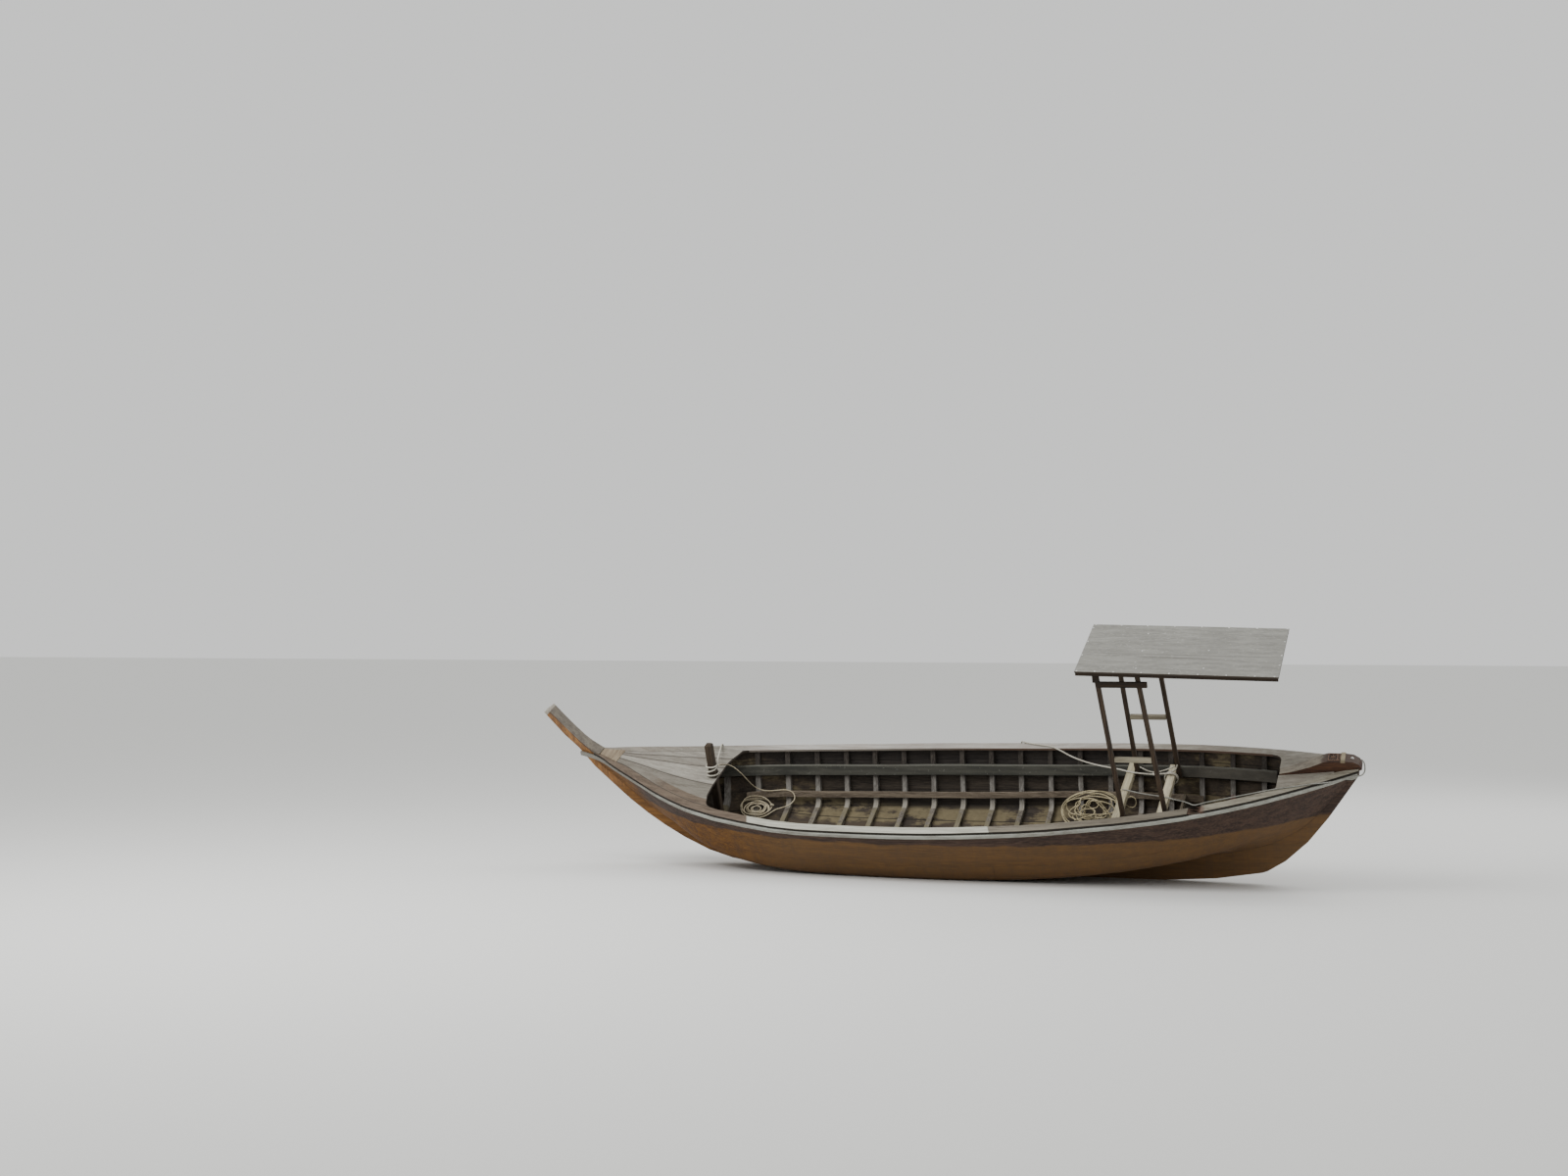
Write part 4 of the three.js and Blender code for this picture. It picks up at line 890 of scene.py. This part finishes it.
# plain boards: way of the grain, pale, middle and dark tone, and the solids that wear it
boards = {
    "breasthook_wood": ("across", (0.32, 0.265, 0.19), (0.232, 0.184, 0.125), (0.135, 0.1, 0.066),
                        ["breasthook"]),
    "dark_beams": ("across", (0.07, 0.055, 0.042), (0.04, 0.03, 0.023), (0.02, 0.015, 0.012),
                   ["foredeck_beam_forward", "foredeck_beam_aft", "stern_beam"]),
    "lower_stringer_wood": ("along", (0.24, 0.194, 0.142), (0.158, 0.126, 0.09), (0.076, 0.058, 0.042),
                            both("lower_stringer")),
    "bitt_wood": ("up", (0.085, 0.062, 0.04), (0.046, 0.032, 0.02), (0.022, 0.015, 0.01), ["bitt_post"]),
    "front_beam_wood": ("across", (0.52, 0.475, 0.34), (0.41, 0.365, 0.24), (0.23, 0.2, 0.13),
                        ["front_cross_beam"]),
    # paler than the front beam: partly the beam's own tone, partly painted light lifting it out of the
    # canopy's shadow
    "aft_beam_wood": ("across", (0.66, 0.6, 0.44), (0.54, 0.48, 0.335), (0.31, 0.27, 0.18),
                      ["aft_cross_beam"]),
    "post_wood": ("up", (0.075, 0.05, 0.03), (0.042, 0.027, 0.016), (0.02, 0.013, 0.009),
                  [n for n in nodes if n.endswith("_post") and n != "bitt_post"]),
    "rung_wood": ("along", (0.36, 0.325, 0.25), (0.27, 0.24, 0.17), (0.14, 0.12, 0.085),
                  both("lower_rung")),
    "upper_rail_wood": ("along", (0.036, 0.022, 0.01), (0.018, 0.011, 0.005), (0.01, 0.006, 0.004),
                        [*both("upper_rail"), *both("top_rail"), "roof_frame"]),
    "foot_board_wood": ("across", (0.27, 0.23, 0.17), (0.17, 0.14, 0.1), (0.085, 0.068, 0.05),
                        ["foot_board"]),
}
for name, (way, pale, mid, dark, wearers) in boards.items():
    board = Finish(name, way)
    board.colour = board.wood(pale, mid, dark)
    dress(board.finish(), *wearers)
print("materials: wood on", len(dressed), "solids; left for the ropes:", sorted(set(nodes) - dressed))


# small woodwork and iron
def railTop(x):
    # height of the rail top at a hull place, all in metres
    for (x0, z0), (x1, z1) in zip(railHeights, railHeights[1:]):
        if x <= x1:
            return z0 + (z1 - z0) * (x - x0) / (x1 - x0)
    return railHeights[-1][1]


def joined(name, parts):
    alone()
    for part in parts:
        part.select_set(True)
    bpy.context.view_layer.objects.active = parts[0]
    bpy.ops.object.join()
    whole = bpy.context.object
    whole.name = whole.data.name = name
    return whole


def applied(piece, kind, **fields):
    # a modifier, put on and applied
    makeActive(piece)
    extra = piece.modifiers.new("shape", kind)
    for field, value in fields.items():
        setattr(extra, field, value)
    bpy.ops.object.modifier_apply(modifier="shape")
    return piece


def applyPlace(**kept):
    bpy.ops.object.transform_apply(**{"location": True, "rotation": True, "scale": True, **kept})


def settle(piece, finish):
    # the piece is modelled in hull places, in metres, and laid over with the boat
    makeActive(piece)
    applyPlace()
    piece.rotation_euler = (lie["heel"], 0, 0)
    piece.location = lie["at"]
    applyPlace()
    turnOutward()
    piece.data.materials.clear()
    piece.data.materials.append(finish)
    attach(piece, "root")
    return piece


def bar(x, y, z, worn=0.0012):
    # a block between the given pairs of hull places, with worn edges
    sizes = [b - a for a, b in (x, y, z)]
    bpy.ops.mesh.primitive_cube_add(size=1, location=[(a + b) / 2 for a, b in (x, y, z)])
    piece = bpy.context.object
    piece.scale = sizes
    applyPlace(location=False, rotation=False)
    return applied(piece, "BEVEL", width=worn, segments=2)


def dome(at, sizes, turn=0.0, segments=10, rings=6):
    bpy.ops.mesh.primitive_uv_sphere_add(segments=segments, ring_count=rings, radius=1, location=at)
    piece = bpy.context.object
    piece.scale = sizes
    piece.rotation_euler = (0, 0, turn)
    applyPlace(location=False)
    bpy.ops.object.shade_smooth()
    return piece


def plainFinish(name, pale, dark, rough, metal=0.0, scale=60.0):
    f = Finish(name)
    f.colour = f.mix(dark, pale, f.fade(f.cloud(scale, 4), 0.38, 0.64))
    f.shader.inputs["Metallic"].default_value = metal
    return f.finish(rough, 0.25, 0.001)


zinc = plainFinish("zinc_heads", (0.8, 0.8, 0.77), (0.5, 0.5, 0.48), 0.45, 0.3)
carvedDark = plainFinish("carved_ground", (0.034, 0.021, 0.016), (0.014, 0.009, 0.008), 0.8)
carvedWorn = plainFinish("carved_relief", (0.23, 0.14, 0.092), (0.1, 0.052, 0.034), 0.75, scale=90.0)
rawWood = plainFinish("raw_wood", (0.19, 0.115, 0.08), (0.085, 0.045, 0.033), 0.9, scale=120.0)

roofNails = {"size": (0.009, 0.009, 0.0045), "edge": 0.534,
             "near": (1.695, 1.866, 2.041, 2.302, 2.561, 2.824, 3.083, 3.342, 3.517),
             "far": (1.697, 1.952, 2.207, 2.471, 2.731, 2.991, 3.255, 3.539),
             "fore": (0.462, 0.139, -0.177), "after": (0.238, -0.073, -0.288), "rows": (1.686, 3.542),
             "inner": ((2.24, 0.35), (2.24, -0.05), (2.24, -0.445), (2.86, 0.0), (2.86, -0.4)),
             "top": 1.56, "front": 1.672, "slope": -0.02442}
spots = [(x, -roofNails["edge"]) for x in roofNails["near"]]
spots += [(x, roofNails["edge"]) for x in roofNails["far"]]
spots += [(roofNails["rows"][0], y) for y in roofNails["fore"]]
spots += [(roofNails["rows"][1], y) for y in roofNails["after"]]
spots += roofNails["inner"]
heads = [dome((x, y, roofNails["top"] + (x - roofNails["front"]) * roofNails["slope"]), roofNails["size"],
              segments=8) for x, y in spots]
settle(joined("roof_nails", heads), zinc)
print("roof:", len(spots), "nail heads")

# flower in a frame, with a row of squares aft of it; heights as (bottom, top), ornaments as half sizes
panel = {"x": (3.917, 4.031), "y": 0.067, "ground": (0.417, 0.4212), "rails": (0.417, 0.4275),
         "ends": (0.417, 0.4269), "wide": 0.008, "divider": 3.998, "inset": 0.002,
         "row": (4.007, 4.018), "squares": (-0.046, -0.023, 0.0, 0.023, 0.046), "half": 0.006,
         "raised": (0.419, 0.4255), "middle": (3.962, 0.004), "bud": (0.0075, 0.0075, 0.006),
         "petals": 8, "ring": 0.0175, "petal": (0.0105, 0.0048, 0.0048), "low": 0.4208,
         "leaf": (0.013, 0.0042, 0.0042), "spray": (0.04, 0.042), "apart": 0.62}
(x0, x1), edge, wide, inset, low = (panel[k] for k in ("x", "y", "wide", "inset", "low"))
ground = bar((x0 + inset, x1 - inset), (-edge + inset, edge - inset), panel["ground"], 0.0005)
settle(joined("carved_ground", [ground]), carvedDark)
relief = [bar((a, a + wide), (-edge, edge), panel["rails"]) for a in (x0, panel["divider"], x1 - wide)]
relief += [bar((x0, x1), (b, b + wide), panel["ends"]) for b in (-edge, edge - wide)]
relief += [bar(panel["row"], (b - panel["half"], b + panel["half"]), panel["raised"])
           for b in panel["squares"]]
mx, my = panel["middle"]
relief.append(dome((mx, my, panel["ground"][1]), panel["bud"]))
for k in range(panel["petals"]):
    a = 2 * pi * k / panel["petals"]
    at = (mx + panel["ring"] * cos(a), my + panel["ring"] * sin(a), low)
    relief.append(dome(at, panel["petal"], a))
for side in (-1, 1):
    for k in (-1, 0, 1):
        a = pi / 2 * side + k * panel["apart"]
        at = (mx + panel["spray"][0] * cos(a), my + panel["spray"][1] * sin(a), low)
        relief.append(dome(at, panel["leaf"], a))
settle(joined("carved_panel", relief), carvedWorn)
print("stern head: framed flower with a row of squares")

# corners, radius, depth and height of the washer and of the nut
bolt = {"at": (4.138, 0.006, 0.4128), "lean": 0.11,
        "parts": ((20, 0.0145, 0.003, 0.001), (6, 0.0095, 0.008, 0.0055))}
turned = []
for sides, radius, depth, height in bolt["parts"]:
    bpy.ops.mesh.primitive_cylinder_add(vertices=sides, radius=radius, depth=depth, location=(0, 0, height))
    turned.append(bpy.context.object)
applied(turned[1], "BEVEL", width=0.0015, segments=2)
whole = joined("stern_bolt", turned)
applyPlace()
whole.rotation_euler = (0, bolt["lean"], 0)
whole.location = bolt["at"]
settle(whole, zinc)


def fillet(name, corner, first, second, reach, finish):
    # board with a hollow round edge that fills a corner of the opening, flush with the deck
    steps, thick, tucked = 8, 0.022, 0.004
    c, a, b = Vector(corner), Vector(first).normalized(), Vector(second).normalized()
    half = a.angle(b) / 2
    radius = reach * tan(half)
    centre = c + (a + b).normalized() * radius / sin(half)
    start, end = c + a * reach - centre, c + b * reach - centre
    swing = start.angle_signed(end)
    bpy.ops.mesh.primitive_circle_add(vertices=steps + 2, radius=0.1, fill_type="NGON", location=(0, 0, 0))
    piece = bpy.context.object
    piece.name = name
    for i, vertex in enumerate(piece.data.vertices):
        turn = swing * (i - 1) / steps
        arc = Vector((start.x * cos(turn) + start.y * sin(turn),
                      start.y * cos(turn) - start.x * sin(turn)))
        spot = centre + arc if i else c - (a + b).normalized() * tucked
        vertex.co = (spot.x, spot.y, railTop(spot.x) - 0.002)
    applied(piece, "SOLIDIFY", thickness=thick, offset=-1 if piece.data.polygons[0].normal.z > 0 else 1)
    piece.data.name = name
    return settle(piece, finish)


corners = {
    "fillet_fore_port": ((-2.27, -0.617), (-0.26, 1), (1, -0.298), 0.075, deckWood),
    "fillet_fore_starboard": ((-2.27, 0.617), (-0.26, -1), (1, 0.298), 0.06, deckWood),
    "fillet_aft_port": ((3.452, -0.348), (0, 1), (-0.954, -0.3), 0.055, sternWood),
    "fillet_aft_starboard": ((3.452, 0.348), (0, -1), (-0.954, 0.3), 0.1, sternWood),
}
for name, shape in corners.items():
    fillet(name, *shape)

# torn ends of the near rail: x of the root, y, length and width
splinters = [(2.659, -0.612, 0.052, 0.017), (2.659, -0.634, 0.026, 0.024), (2.659, -0.662, 0.07, 0.015),
             (2.659, -0.69, 0.034, 0.026), (2.781, -0.588, -0.046, 0.02), (2.781, -0.612, -0.022, 0.022),
             (2.781, -0.64, -0.06, 0.014), (2.781, -0.668, -0.03, 0.026)]
torn, rooted = [], 0.012
for x, y, length, wide in splinters:
    way = copysign(1, length)
    bpy.ops.mesh.primitive_cone_add(vertices=5, radius1=wide / 2, radius2=0.0012,
                                    depth=abs(length) + rooted, rotation=(0, way * pi / 2, 0),
                                    location=(x + (length - way * rooted) / 2, y, railTop(x) - 0.012))
    shard = bpy.context.object
    shard.scale = (0.6, 1, 1)
    torn.append(shard)
settle(joined("rail_splinters", torn), rawWood)
print("woodwork: bolt, four corner fillets and the torn ends of the rail")

# the solids, welded and lightly rounded, so that worn arrises catch the light
arris = {"width": 0.003, "segments": 2, "limit_method": "ANGLE", "angle_limit": radians(35)}
for solid in nodes.values():
    if not solid.hide_render:
        solid.data.polygons.foreach_set("use_smooth", [True] * len(solid.data.polygons))
        solid.modifiers.new("weld", "WELD").merge_threshold = 0.00005
        rounded = solid.modifiers.new("worn_arris", "BEVEL")
        for field, value in arris.items():
            setattr(rounded, field, value)
        solid.modifiers.new("even_shading", "WEIGHTED_NORMAL")

# floor and light
stageLight = {"sky": (0.95, 0.955, 0.945), "strength": 0.95, "key": 1250, "fill": 500}
alone()
bpy.ops.mesh.primitive_plane_add(size=240, location=(0, 0, 0))
floor = bpy.context.object
floor.name = "studio_floor"
pale = bpy.data.materials.new("studio_floor")
pale.use_nodes = True
shader = pale.node_tree.nodes["Principled BSDF"]
shader.inputs["Base Color"].default_value = (0.78, 0.78, 0.76, 1)
shader.inputs["Roughness"].default_value = 0.9
floor.data.materials.append(pale)
world = bpy.data.worlds.new("studio_sky")
world.use_nodes = True
sky = world.node_tree.nodes["Background"]
sky.inputs[0].default_value = (*stageLight["sky"], 1)
sky.inputs[1].default_value = stageLight["strength"]
bpy.context.scene.world = world
for name, at, size, power in (("key_light", (-6, -7, 10), 7, stageLight["key"]),
                              ("back_light", (7, 9, 9), 8, stageLight["fill"])):
    bpy.ops.object.light_add(type="AREA", location=at)
    lamp = bpy.context.object
    lamp.name = name
    lamp.data.size = size
    lamp.data.energy = power
    lamp.rotation_euler = (Vector((0, 0, 0.6)) - Vector(at)).to_track_quat("-Z", "Y").to_euler()
print("stage: floor, sky and two soft lights")
